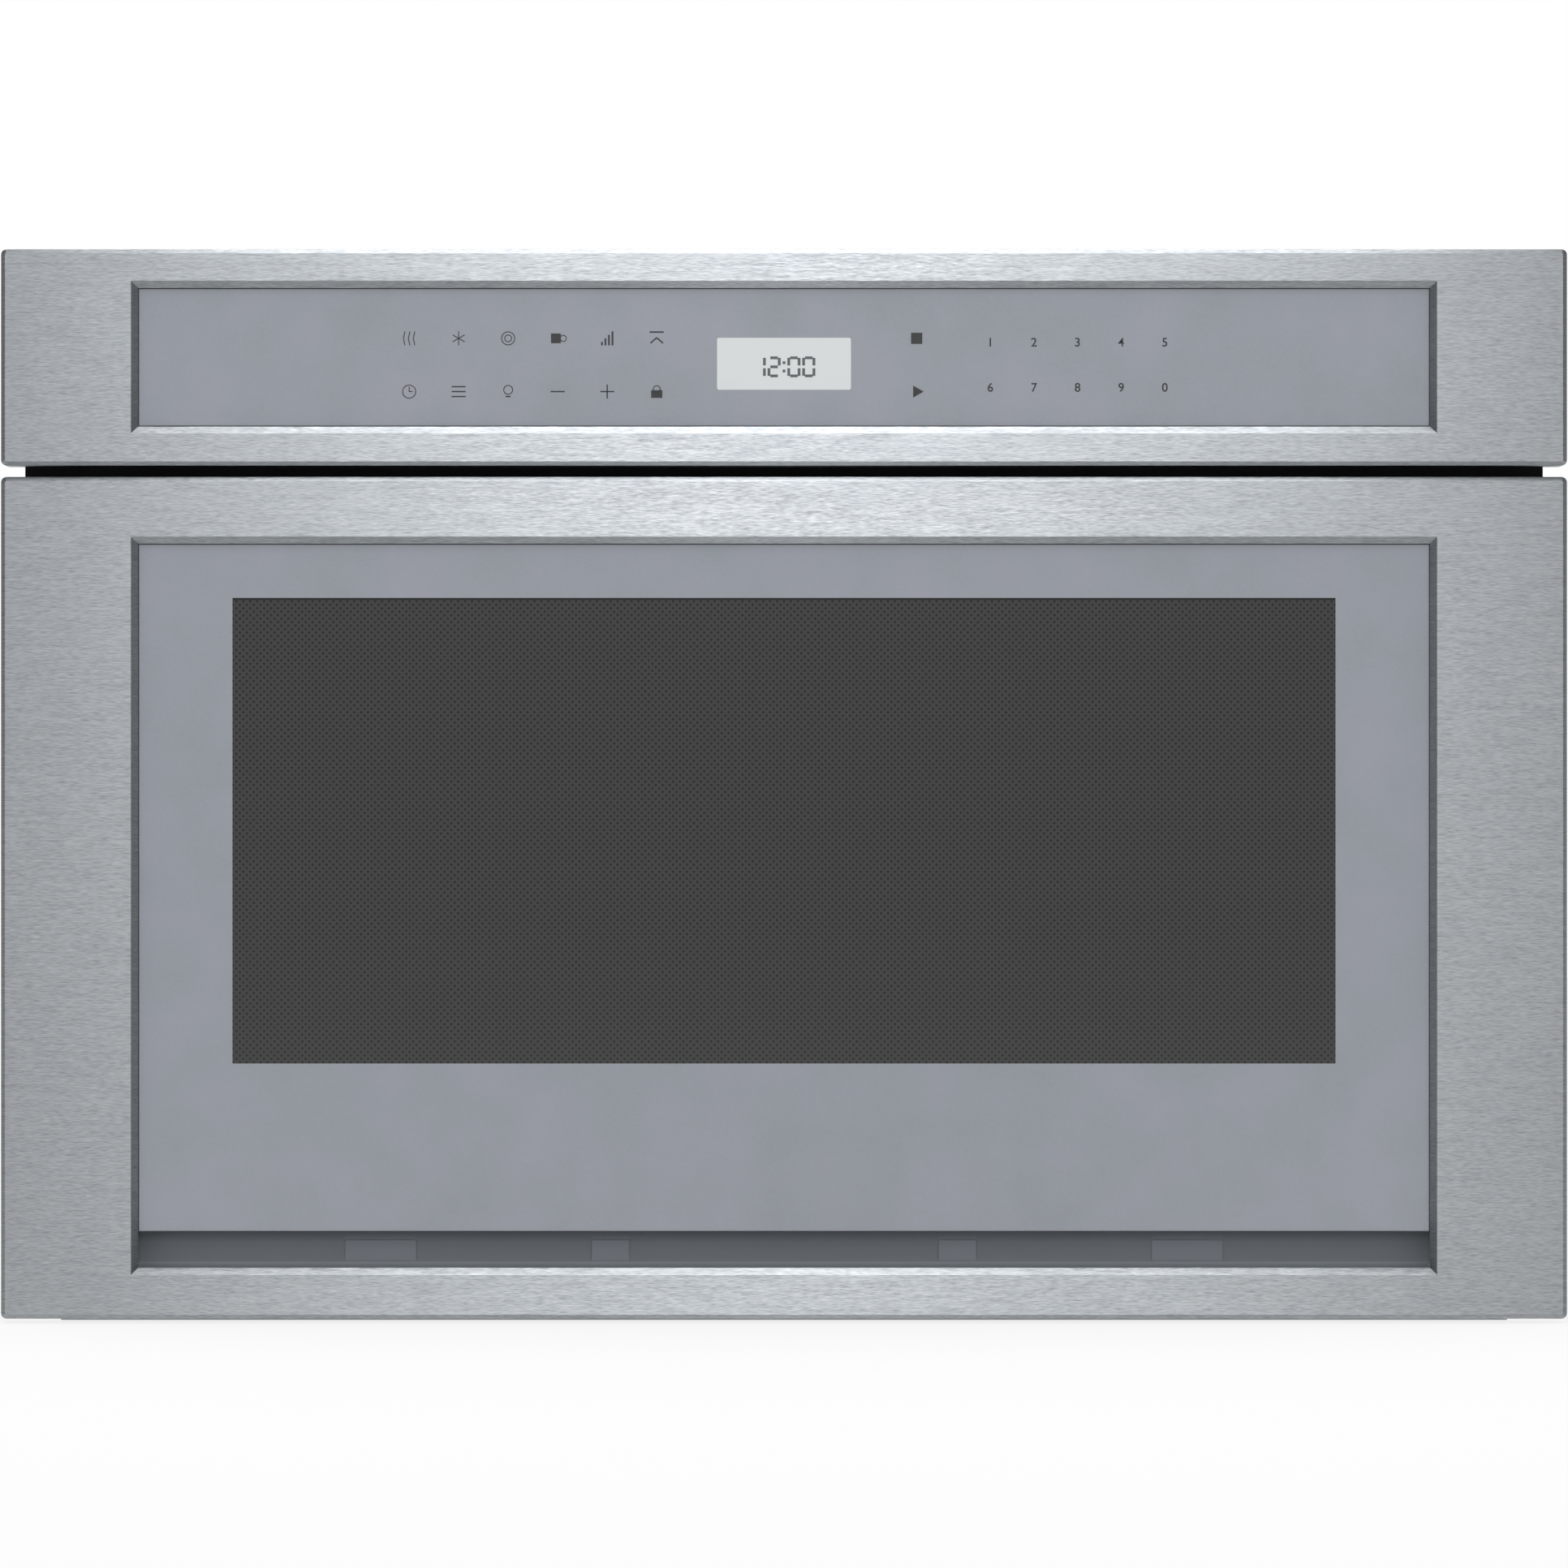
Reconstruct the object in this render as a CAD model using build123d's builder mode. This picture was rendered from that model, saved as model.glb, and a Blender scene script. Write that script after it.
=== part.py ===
from build123d import *
from math import acos, ceil, cos, pi, radians, sin, tan
import os

os.makedirs("parts", exist_ok=True)

# A built-in microwave drawer: a casing that slides into a cabinet cut-out, an oven cavity fixed inside it,
# and a drawer on telescopic slides that a motor opens through racks and pinions.
# Millimetres, +Z up. The steel fronts face -Y. The origin is under the middle of the whole part.

# ---------------------------------------------------------------- driving sizes: fronts
overall_width = 758.8
overall_depth = 594.0
front_lift = 1.8
drawer_front_height = 407.9
front_gap = 5.5
control_front_height = 104.8
front_depth = 38.0
seal_gap = 1.5

skin = 1.2
front_edge_radius = 2.0
recess_side_margin = 63.1
drawer_margin_above = 29.1
drawer_margin_below = 21.4
control_margin_above = 15.5
control_margin_below = 15.7
bevel_width = 3.2
bevel_depth = 3.4
seat_width = 8.0
glass_overlap = 6.0
glass_thickness = 4.0
pull_slot_height = 17.3
window_side_margin = 45.75
window_height = 225.7
window_below_glass_top = 26.3

# ---------------------------------------------------------------- driving sizes: casing and cavity
plate_side_margin = 10.0
plate_flange = 17.4
plate_sheet = 1.5
plate_margin = 7.0
body_drop = 22.0
case_sheet = 1.0
base_sheet = 1.2
louvre_rise = 3.0
hidden_sides = 16

cavity_rise = 147.0
cavity_headroom = 81.7
cavity_side_space = 132.0
cavity_rear_space = 128.0
cavity_sheet = 1.0
cavity_flange = 26.0

# ---------------------------------------------------------------- driving sizes: drawer, slides and drive
tub_kept_inside = 40.0
tub_side_gap = 6.5
tub_floor_gap = 4.0
tub_top_gap = 37.0
tub_back_gap = 15.0
tub_sheet = 1.0
tray_thickness = 4.0

slide_overlap = 59.0
slide_height = 46.0
slide_width = 12.7
slide_drop = 35.0
rail_sheet = 1.5
race_gap = 3.6

tooth_module = 2.5
pinion_teeth = 16
rack_width = 10.0
rack_drop = 12.0
shaft_diameter = 10.0
shaft_setback = 28.0
drive_module = 1.5
shaft_gear_teeth = 32
motor_pinion_teeth = 18
rack_flank_steps = 2
drive_flank_steps = 1
pressure_angle = radians(20)
addendum = 0.84 * tooth_module
dedendum = 1.16 * tooth_module
backlash = 0.3
running_clearance = 0.05
part_gap = 0.4
press_draft = 20.0
slide_slot_width = 48.0
slide_slot_height = 60.0

# ---------------------------------------------------------------- planes and levels worked out from them
front_y = -overall_depth / 2
drawer_back_y = front_y + front_depth
plate_y = drawer_back_y + seal_gap
body_y = plate_y + plate_sheet
rear_y = overall_depth / 2 - louvre_rise
case_back = rear_y - case_sheet
body_depth = case_back - body_y
body_middle_y = (body_y + case_back) / 2

drawer_low = front_lift
drawer_high = drawer_low + drawer_front_height
control_low = drawer_high + front_gap
control_high = control_low + control_front_height
body_top = control_high - body_drop
plate_width = overall_width - 2 * plate_side_margin
body_width = plate_width - 2 * plate_flange
case_half = body_width / 2
case_inside = case_half - case_sheet
slide_slot_x = case_inside - slide_slot_width / 2

recess_width = overall_width - 2 * recess_side_margin
opening_width = recess_width - 2 * bevel_width
glass_face_y = front_y + bevel_depth + skin
glass_back_y = glass_face_y + glass_thickness

drawer_opening_low = drawer_low + drawer_margin_below + bevel_width
drawer_opening_high = drawer_high - drawer_margin_above - bevel_width
control_opening_low = control_low + control_margin_below + bevel_width
control_opening_high = control_high - control_margin_above - bevel_width
pull_high = drawer_opening_low + pull_slot_height

cavity_width = body_width - 2 * cavity_side_space
cavity_depth = body_depth - cavity_rear_space
cavity_high = drawer_high - cavity_headroom
cavity_height = cavity_high - cavity_rise
cavity_back_y = body_y + cavity_depth
roof_z = cavity_high + cavity_sheet
drawer_travel = cavity_depth - tub_kept_inside
slide_length = drawer_travel + slide_overlap
slide_rise = cavity_rise - slide_drop
window_width = opening_width - 2 * window_side_margin


def facing_front(y):
    """A sketch plane at depth y whose normal looks out of the front."""
    return Plane.XZ.offset(-y)


def area(x_low, x_high, y_low, y_high, mode=Mode.ADD):
    """A rectangle in the open sketch, given by its limits."""
    with Locations(((x_low + x_high) / 2, (y_low + y_high) / 2)):
        Rectangle(x_high - x_low, y_high - y_low, mode=mode)


# ================================================================ casing
# Base pan: pressed sheet with turned-up flanges and three raised stiffening ribs.
base_flange = 24.0
corner_notch = 18.0
rib_height = 4.0
rib_width = 26.0
rib_length = 250.0
rib_spacing = 110.0
rib_count = 3

with BuildPart() as base_pan:
    with BuildSketch(Plane.XY):
        area(-case_inside, case_inside, body_y, case_back)
    extrude(amount=base_sheet)
    with BuildSketch(Plane.XY):
        with Locations((case_inside - base_sheet / 2, body_middle_y)):
            Rectangle(base_sheet, body_depth - 2 * corner_notch)
        with Locations((-case_inside + base_sheet / 2, body_middle_y)):
            Rectangle(base_sheet, body_depth - 2 * corner_notch)
        with Locations((0, case_back - base_sheet / 2)):
            Rectangle(2 * (case_inside - corner_notch), base_sheet)
    extrude(amount=base_flange)
    with BuildSketch(Plane.XY):
        with Locations((0, body_middle_y)):
            with GridLocations(rib_spacing, 0, rib_count, 1):
                Rectangle(rib_width, rib_length)
    extrude(amount=rib_height + base_sheet, taper=press_draft)
    with BuildSketch(Plane.XY):
        with Locations((0, body_middle_y)):
            with GridLocations(rib_spacing, 0, rib_count, 1):
                Rectangle(rib_width - 2 * base_sheet, rib_length - 2 * base_sheet)
    extrude(amount=rib_height, taper=press_draft, mode=Mode.SUBTRACT)
base_pan.part.label = "base_pan"
export_step(base_pan.part, "parts/base_pan.step")

# Side panels: a sheet with inward flanges front and back, and rows of cooling slots high at the rear.
panel_flange = 14.0
slot_length = 34.0
slot_width = 4.0
slot_pitch = 15.0
side_slot_rows = 5
side_slot_columns = 3
side_slot_setback = 103.0
side_slot_drop = 80.0

for side, sign in (("left", -1), ("right", 1)):
    with BuildPart() as side_panel:
        with BuildSketch(Plane.XY):
            with Locations((sign * (case_half - case_sheet / 2), body_middle_y)):
                Rectangle(case_sheet, body_depth)
            for flange_y in (body_y + case_sheet / 2, case_back - case_sheet / 2):
                with Locations((sign * (case_half - panel_flange / 2), flange_y)):
                    Rectangle(panel_flange, case_sheet)
        extrude(amount=body_top - case_sheet)
        with BuildSketch(Plane.XY):
            with Locations((sign * (case_inside - panel_flange / 2), body_middle_y)):
                Rectangle(panel_flange, body_depth)
        extrude(amount=base_sheet, mode=Mode.SUBTRACT)
        with BuildSketch(Plane.YZ.offset(sign * case_half)):
            with Locations((case_back - side_slot_setback, body_top - side_slot_drop)):
                with GridLocations(slot_length + slot_pitch, slot_pitch, side_slot_columns, side_slot_rows):
                    Rectangle(slot_length, slot_width)
        extrude(amount=-sign * 2 * case_sheet, mode=Mode.SUBTRACT)
        with BuildSketch(facing_front(body_y)):
            with Locations((sign * slide_slot_x, slide_rise)):
                Rectangle(slide_slot_width, slide_slot_height)
        extrude(amount=-case_sheet, mode=Mode.SUBTRACT)
    side_panel.part.label = f"{side}_side_panel"
    export_step(side_panel.part, f"parts/{side}_side_panel.step")

# Top cover: lies on the side panels, with flanges turned down inside them and two pressed beads.
cover_flange = 15.0
bead_width = 30.0
bead_height = 2.0
bead_spacing = 300.0
cover_under = body_top - case_sheet

with BuildPart() as top_cover:
    with BuildSketch(Plane.XY.offset(cover_under)):
        area(-case_half, case_half, body_y, case_back)
    extrude(amount=case_sheet)
    with BuildSketch(Plane.XY.offset(cover_under - cover_flange)):
        with GridLocations(2 * case_inside - case_sheet, 0, 2, 1):
            with Locations((0, body_middle_y)):
                Rectangle(case_sheet, body_depth - 2 * corner_notch)
    extrude(amount=cover_flange)
    with BuildSketch(Plane.XY.offset(cover_under)):
        with Locations((0, body_middle_y)):
            with GridLocations(0, bead_spacing, 1, 2):
                Rectangle(body_width - 4 * corner_notch, bead_width)
    extrude(amount=case_sheet + bead_height, taper=press_draft)
    with BuildSketch(Plane.XY.offset(cover_under)):
        with Locations((0, body_middle_y)):
            with GridLocations(0, bead_spacing, 1, 2):
                Rectangle(body_width - 4 * corner_notch - 2 * case_sheet, bead_width - 2 * case_sheet)
    extrude(amount=bead_height, taper=press_draft, mode=Mode.SUBTRACT)
top_cover.part.label = "top_cover"
export_step(top_cover.part, "parts/top_cover.step")

# Rear panel: closes the back, with pressed louvres behind the fan and the transformer.
fan_centre_x = 0.0
fan_drop = 78.0
fan_centre_z = body_top - fan_drop
louvre_length = 52.0
louvre_height = 7.0
louvre_pitch = 21.0
louvre_rows = 5
louvre_gap = 10.0
side_louvre_inset = 106.0
side_louvre_z = 130.0
side_louvre_x = case_inside - side_louvre_inset
cord_hole_inset = 61.0
cord_hole_drop = 68.0
cord_hole_diameter = 22.0
bushing_sides = 8
cord_hole_x = cord_hole_inset - case_inside
cord_hole_z = body_top - cord_hole_drop

with BuildPart() as rear_panel:
    with BuildSketch(facing_front(case_back)):
        area(-case_half, case_half, 0, body_top)
    extrude(amount=-case_sheet)
    louvre_places = []
    for louvre_x, louvre_z in (
        (fan_centre_x - (louvre_length + louvre_gap) / 2, fan_centre_z),
        (fan_centre_x + (louvre_length + louvre_gap) / 2, fan_centre_z),
        (side_louvre_x, side_louvre_z),
        (-side_louvre_x, side_louvre_z),
    ):
        for row in range(louvre_rows):
            louvre_places.append((louvre_x, louvre_z + (row - (louvre_rows - 1) / 2) * louvre_pitch))
    for louvre_x, louvre_z in louvre_places:
        with BuildSketch(Plane.YZ.offset(louvre_x - louvre_length / 2)):
            with BuildLine():
                Polyline(
                    (case_back, louvre_z + louvre_height / 2 + case_sheet),
                    (rear_y, louvre_z + louvre_height / 2 + case_sheet),
                    (rear_y + louvre_rise, louvre_z - louvre_height / 2),
                    (rear_y + louvre_rise - case_sheet, louvre_z - louvre_height / 2),
                    (case_back, louvre_z + louvre_height / 2 - case_sheet),
                    close=True,
                )
            make_face()
        extrude(amount=louvre_length)
        with BuildSketch(facing_front(case_back)):
            with Locations((louvre_x, louvre_z - case_sheet / 2)):
                Rectangle(louvre_length - 2 * case_sheet, louvre_height - case_sheet)
        extrude(amount=-case_sheet, mode=Mode.SUBTRACT)
    with BuildSketch(facing_front(case_back)):
        with Locations((cord_hole_x, cord_hole_z)):
            RegularPolygon(cord_hole_diameter / 2, bushing_sides)
    extrude(amount=-case_sheet, mode=Mode.SUBTRACT)
rear_panel.part.label = "rear_panel"
export_step(rear_panel.part, "parts/rear_panel.step")

# Cord bushing: a flanged plastic bush snapped into the rear panel.
bushing_flange = 28.0
bushing_bore = 9.0
bushing_length = 14.0

with BuildPart() as cord_bushing:
    with BuildSketch(facing_front(case_back)):
        with Locations((cord_hole_x, cord_hole_z)):
            RegularPolygon(cord_hole_diameter / 2, bushing_sides)
    extrude(amount=-case_sheet)
    with BuildSketch(facing_front(rear_y)):
        with Locations((cord_hole_x, cord_hole_z)):
            RegularPolygon(bushing_flange / 2, bushing_sides)
    extrude(amount=-louvre_rise)
    with BuildSketch(facing_front(case_back)):
        with Locations((cord_hole_x, cord_hole_z)):
            RegularPolygon(bushing_flange / 2, bushing_sides)
    extrude(amount=bushing_length)
    with BuildSketch(facing_front(rear_y + louvre_rise)):
        with Locations((cord_hole_x, cord_hole_z)):
            RegularPolygon(bushing_bore / 2, bushing_sides)
    extrude(amount=2 * bushing_length, mode=Mode.SUBTRACT)
cord_bushing.part.label = "cord_bushing"
export_step(cord_bushing.part, "parts/cord_bushing.step")

# ================================================================ face plate and oven cavity
# Face plate: black flange on the cabinet face, with the oven mouth, the slide slots, the hook slots,
# the wiring window behind the controls and the screw holes that hold the appliance in the cabinet.
hook_inset = 77.0
hook_rise = 50.0
hook_x = case_half - hook_inset
hook_z = cavity_high + hook_rise
hook_slot_width = 16.0
hook_slot_height = 18.0
wiring_window_width = 300.0
wiring_window_height = 46.0
mounting_hole_diameter = 4.5
mounting_hole_spacing_z = 300.0
mounting_hole_inset = 6.15
mounting_hole_rise = 61.2
mounting_hole_x = plate_width / 2 - mounting_hole_inset
plate_low = drawer_low + plate_margin
plate_high = control_high - plate_margin
mounting_hole_z = plate_low + mounting_hole_rise + mounting_hole_spacing_z / 2
wiring_window_z = (control_opening_low + control_opening_high) / 2

with BuildPart() as face_plate:
    with BuildSketch(facing_front(plate_y)):
        area(-plate_width / 2, plate_width / 2, plate_low, plate_high)
        area(-cavity_width / 2, cavity_width / 2, cavity_rise, cavity_high, mode=Mode.SUBTRACT)
        with Locations((slide_slot_x, slide_rise), (-slide_slot_x, slide_rise)):
            Rectangle(slide_slot_width, slide_slot_height, mode=Mode.SUBTRACT)
        with Locations((hook_x, hook_z), (-hook_x, hook_z)):
            Rectangle(hook_slot_width, hook_slot_height, mode=Mode.SUBTRACT)
        with Locations((0, wiring_window_z)):
            Rectangle(wiring_window_width, wiring_window_height, mode=Mode.SUBTRACT)
        with Locations((0, mounting_hole_z)):
            with GridLocations(2 * mounting_hole_x, mounting_hole_spacing_z, 2, 2):
                Circle(mounting_hole_diameter / 2, mode=Mode.SUBTRACT)
    extrude(amount=-plate_sheet)
face_plate.part.label = "face_plate"
export_step(face_plate.part, "parts/face_plate.step")

# Oven cavity: welded sheet box with rounded corners, a front flange behind the face plate, an opening
# for the stirrer in its roof and a pierced patch in its left wall for the lamp.
cavity_corner = 10.0
stirrer_hole = 160.0
stirrer_y = body_y + cavity_depth / 2
lamp_setback = 105.0
lamp_drop = 40.0
lamp_y = cavity_back_y - lamp_setback
lamp_z = cavity_high - lamp_drop
lamp_hole = 4.0
lamp_hole_pitch = 7.5
lamp_hole_columns = 3
lamp_hole_rows = 3
cavity_middle_z = cavity_rise + cavity_height / 2

with BuildPart() as oven_cavity:
    with BuildSketch(facing_front(body_y)):
        with Locations((0, cavity_middle_z)):
            RectangleRounded(cavity_width + 2 * cavity_sheet, cavity_height + 2 * cavity_sheet, cavity_corner)
    extrude(amount=-cavity_depth - cavity_sheet)
    with BuildSketch(facing_front(body_y)):
        with Locations((0, cavity_middle_z)):
            Rectangle(cavity_width + 2 * cavity_flange, cavity_height + 2 * cavity_flange)
    extrude(amount=-cavity_sheet)
    with BuildSketch(facing_front(body_y)):
        with Locations((0, cavity_middle_z)):
            RectangleRounded(cavity_width, cavity_height, cavity_corner - cavity_sheet)
    extrude(amount=-cavity_depth, mode=Mode.SUBTRACT)
    with BuildSketch(Plane.XY.offset(roof_z)):
        with Locations((0, stirrer_y)):
            Rectangle(stirrer_hole, stirrer_hole)
    extrude(amount=-2 * cavity_sheet, mode=Mode.SUBTRACT)
    with BuildSketch(Plane.YZ.offset(-cavity_width / 2)):
        with Locations((lamp_y, lamp_z)):
            with GridLocations(lamp_hole_pitch, lamp_hole_pitch, lamp_hole_columns, lamp_hole_rows):
                Rectangle(lamp_hole, lamp_hole)
    extrude(amount=-2 * cavity_sheet, mode=Mode.SUBTRACT)
oven_cavity.part.label = "oven_cavity"
export_step(oven_cavity.part, "parts/oven_cavity.step")

# Stirrer cover: thin plate under the roof that keeps splashes out of the stirrer.
stirrer_cover_size = 178.0
stirrer_cover_sheet = 1.2

with BuildPart() as stirrer_cover:
    with BuildSketch(Plane.XY.offset(cavity_high)):
        with Locations((0, stirrer_y)):
            Rectangle(stirrer_cover_size, stirrer_cover_size)
    extrude(amount=-stirrer_cover_sheet)
stirrer_cover.part.label = "stirrer_cover"
export_step(stirrer_cover.part, "parts/stirrer_cover.step")

# Stirrer housing: a pan over the roof opening, open below and towards the waveguide.
housing_width = 180.0
housing_height = 34.0
guide_width = 92.0
guide_sheet = 1.0
housing_back_y = stirrer_y + housing_width / 2
housing_top_z = roof_z + housing_height
stirrer_shaft_diameter = 8.0

with BuildPart() as stirrer_housing:
    with BuildSketch(Plane.XY.offset(roof_z)):
        with Locations((0, stirrer_y)):
            Rectangle(housing_width, housing_width)
    extrude(amount=housing_height)
    offset(amount=-guide_sheet, openings=stirrer_housing.faces().sort_by(Axis.Z)[0])
    with BuildSketch(facing_front(housing_back_y)):
        with Locations((0, roof_z + housing_height / 2)):
            Rectangle(guide_width - 2 * guide_sheet, housing_height - 2 * guide_sheet)
    extrude(amount=2 * guide_sheet, mode=Mode.SUBTRACT)
    with BuildSketch(Plane.XY.offset(housing_top_z)):
        with Locations((0, stirrer_y)):
            Circle(stirrer_shaft_diameter / 2 + part_gap)
    extrude(amount=-2 * guide_sheet, mode=Mode.SUBTRACT)
stirrer_housing.part.label = "stirrer_housing"
export_step(stirrer_housing.part, "parts/stirrer_housing.step")

# Waveguide: a flat duct from under the magnetron to the stirrer housing, closed at its far end.
guide_overhang = 35.0
magnetron_setback = 50.0
guide_end_y = cavity_back_y + guide_overhang
magnetron_y = guide_end_y - magnetron_setback
antenna_hole = 30.0

with BuildPart() as waveguide:
    with BuildSketch(facing_front(housing_back_y)):
        with Locations((0, roof_z + housing_height / 2)):
            Rectangle(guide_width, housing_height)
    extrude(amount=-(guide_end_y - housing_back_y))
    offset(amount=-guide_sheet, openings=waveguide.faces().sort_by(Axis.Y)[0])
    with BuildSketch(Plane.XY.offset(housing_top_z)):
        with Locations((0, magnetron_y)):
            Circle(antenna_hole / 2)
    extrude(amount=-2 * guide_sheet, mode=Mode.SUBTRACT)
waveguide.part.label = "waveguide"
export_step(waveguide.part, "parts/waveguide.step")

# Magnetron: anode in a stack of cooling fins inside a steel yoke, antenna below, filter box above.
yoke_width = 92.0
yoke_depth = 78.0
yoke_height = 76.0
yoke_sheet = 2.0
anode_diameter = 40.0
anode_sides = 8
antenna_diameter = 18.0
antenna_length = 20.0
fin_count = 8
fin_sheet = 0.8
filter_height = 28.0
yoke_top_z = housing_top_z + yoke_height

with BuildPart() as magnetron:
    with BuildSketch(facing_front(magnetron_y - yoke_depth / 2)):
        with Locations((0, housing_top_z + yoke_height / 2)):
            Rectangle(yoke_width, yoke_height)
            Rectangle(yoke_width - 2 * yoke_sheet, yoke_height - 2 * yoke_sheet, mode=Mode.SUBTRACT)
    extrude(amount=-yoke_depth)
    for fin in range(fin_count):
        with BuildSketch(Plane.XY.offset(housing_top_z + (fin + 1) * yoke_height / (fin_count + 1))):
            with Locations((0, magnetron_y)):
                Rectangle(yoke_width - yoke_sheet, yoke_depth - 2 * yoke_sheet)
        extrude(amount=fin_sheet)
    with BuildSketch(Plane.XY.offset(housing_top_z)):
        with Locations((0, magnetron_y)):
            RegularPolygon(anode_diameter / 2, anode_sides)
    extrude(amount=yoke_height)
    with BuildSketch(Plane.XY.offset(housing_top_z)):
        with Locations((0, magnetron_y)):
            RegularPolygon(antenna_diameter / 2, anode_sides)
    extrude(amount=-antenna_length)
    with BuildSketch(Plane.XY.offset(yoke_top_z)):
        with Locations((0, magnetron_y)):
            Rectangle(yoke_width - 4 * yoke_sheet, yoke_depth - 4 * yoke_sheet)
    extrude(amount=filter_height)
magnetron.part.label = "magnetron"
export_step(magnetron.part, "parts/magnetron.step")

# Stirrer motor: flat synchronous motor on the housing, with a bore for the stirrer shaft.
stirrer_motor_width = 50.0
stirrer_motor_height = 20.0
shaft_engagement = 10.0

with BuildPart() as stirrer_motor:
    with BuildSketch(Plane.XY.offset(housing_top_z)):
        with Locations((0, stirrer_y)):
            RegularPolygon(stirrer_motor_width / 2, hidden_sides)
            Rectangle(stirrer_motor_width + 4 * stirrer_shaft_diameter, 2 * stirrer_shaft_diameter)
    extrude(amount=stirrer_motor_height)
    with BuildSketch(Plane.XY.offset(housing_top_z)):
        with Locations((0, stirrer_y)):
            Circle(stirrer_shaft_diameter / 2 + running_clearance)
    extrude(amount=shaft_engagement + part_gap, mode=Mode.SUBTRACT)
stirrer_motor.part.label = "stirrer_motor"
export_step(stirrer_motor.part, "parts/stirrer_motor.step")

# Stirrer: a plastic shaft with four metal vanes, their ends bent down.
vane_length = 68.0
vane_width = 30.0
vane_sheet = 1.0
vane_tip = 14.0
vane_z = roof_z + housing_height / 2
vane_bend = 8.0

with BuildPart() as stirrer:
    with BuildSketch(Plane.XY.offset(vane_z - vane_bend)):
        with Locations((0, stirrer_y)):
            Circle(stirrer_shaft_diameter / 2)
    extrude(amount=housing_top_z + shaft_engagement - vane_z + vane_bend)
    with BuildSketch(Plane.XY.offset(vane_z)):
        with Locations((0, stirrer_y)):
            Rectangle(2 * vane_length, vane_width)
            Rectangle(vane_width, 2 * vane_length)
    extrude(amount=vane_sheet)
    with BuildSketch(Plane.XY.offset(vane_z - vane_bend)):
        with Locations((0, stirrer_y)):
            with PolarLocations(vane_length - vane_sheet / 2, 4):
                Rectangle(vane_sheet, vane_width - vane_tip)
    extrude(amount=vane_bend)
stirrer.part.label = "stirrer"
export_step(stirrer.part, "parts/stirrer.step")

# Oven lamp: a vented lamp box against the left cavity wall.
lamp_box_depth = 34.0
lamp_box_width = 44.0
lamp_box_height = 40.0
bulb_diameter = 20.0
bulb_length = 17.0
lamp_wall_x = -(cavity_width / 2 + cavity_sheet)

with BuildPart() as oven_lamp:
    with BuildSketch(Plane.YZ.offset(lamp_wall_x)):
        with Locations((lamp_y, lamp_z)):
            Rectangle(lamp_box_width, lamp_box_height)
            Rectangle(lamp_box_width - 2 * skin, lamp_box_height - 2 * skin, mode=Mode.SUBTRACT)
    extrude(amount=-lamp_box_depth)
    with BuildSketch(Plane.YZ.offset(lamp_wall_x - lamp_box_depth)):
        with Locations((lamp_y, lamp_z)):
            Rectangle(lamp_box_width, lamp_box_height)
    extrude(amount=skin)
    with BuildSketch(Plane.YZ.offset(lamp_wall_x - lamp_box_depth + skin)):
        with Locations((lamp_y, lamp_z)):
            RegularPolygon(bulb_diameter / 2, hidden_sides)
    extrude(amount=bulb_length)
oven_lamp.part.label = "oven_lamp"
export_step(oven_lamp.part, "parts/oven_lamp.step")

# ================================================================ cooling
# Fan frame: square frame on the rear panel with a round bore of many flats.
fan_frame_size = 128.0
fan_frame_depth = 26.0
fan_bore = 116.0
fan_bore_sides = 24
fan_motor_diameter = 38.0
fan_motor_length = 24.0
fan_arm_width = 10.0
fan_arm_count = 3
fan_arm_depth = 4.0
fan_shaft_diameter = 5.0
fan_front_y = case_back - fan_frame_depth
fan_arm_y = fan_front_y - fan_arm_depth

with BuildPart() as fan_frame:
    with BuildSketch(facing_front(fan_front_y)):
        with Locations((fan_centre_x, fan_centre_z)):
            Rectangle(fan_frame_size, fan_frame_size)
            RegularPolygon(fan_bore / 2, fan_bore_sides, major_radius=False, mode=Mode.SUBTRACT)
    extrude(amount=-fan_frame_depth)
fan_frame.part.label = "fan_frame"
export_step(fan_frame.part, "parts/fan_frame.step")

# Fan motor: a can held by three arms that end on the frame's front face.
with BuildPart() as fan_motor:
    with BuildSketch(facing_front(fan_front_y - fan_motor_length)):
        with Locations((fan_centre_x, fan_centre_z)):
            RegularPolygon(fan_motor_diameter / 2, hidden_sides)
    extrude(amount=-fan_motor_length)
    with BuildSketch(facing_front(fan_arm_y)):
        with Locations((fan_centre_x, fan_centre_z)):
            with PolarLocations(0, fan_arm_count, start_angle=90):
                with Locations(((fan_bore + fan_arm_width) / 4, 0)):
                    Rectangle((fan_bore + fan_arm_width) / 2, fan_arm_width)
    extrude(amount=-fan_arm_depth)
    with BuildSketch(facing_front(fan_front_y)):
        with Locations((fan_centre_x, fan_centre_z)):
            Circle(fan_shaft_diameter / 2 + running_clearance)
    extrude(amount=fan_motor_length / 2 + part_gap, mode=Mode.SUBTRACT)
fan_motor.part.label = "fan_motor"
export_step(fan_motor.part, "parts/fan_motor.step")

# Fan impeller: hub and seven pitched blades on a steel shaft.
blade_count = 7
blade_sheet = 1.6
blade_pitch_angle = 35.0
blade_tip_gap = 2.5
impeller_depth = 20.0
hub_diameter = 36.0
impeller_y = fan_front_y + 2 * part_gap
blade_reach = fan_bore / 2 - blade_tip_gap
blade_root = hub_diameter / 4
blade_chord = impeller_depth / cos(radians(90 - blade_pitch_angle)) / 2

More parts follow.
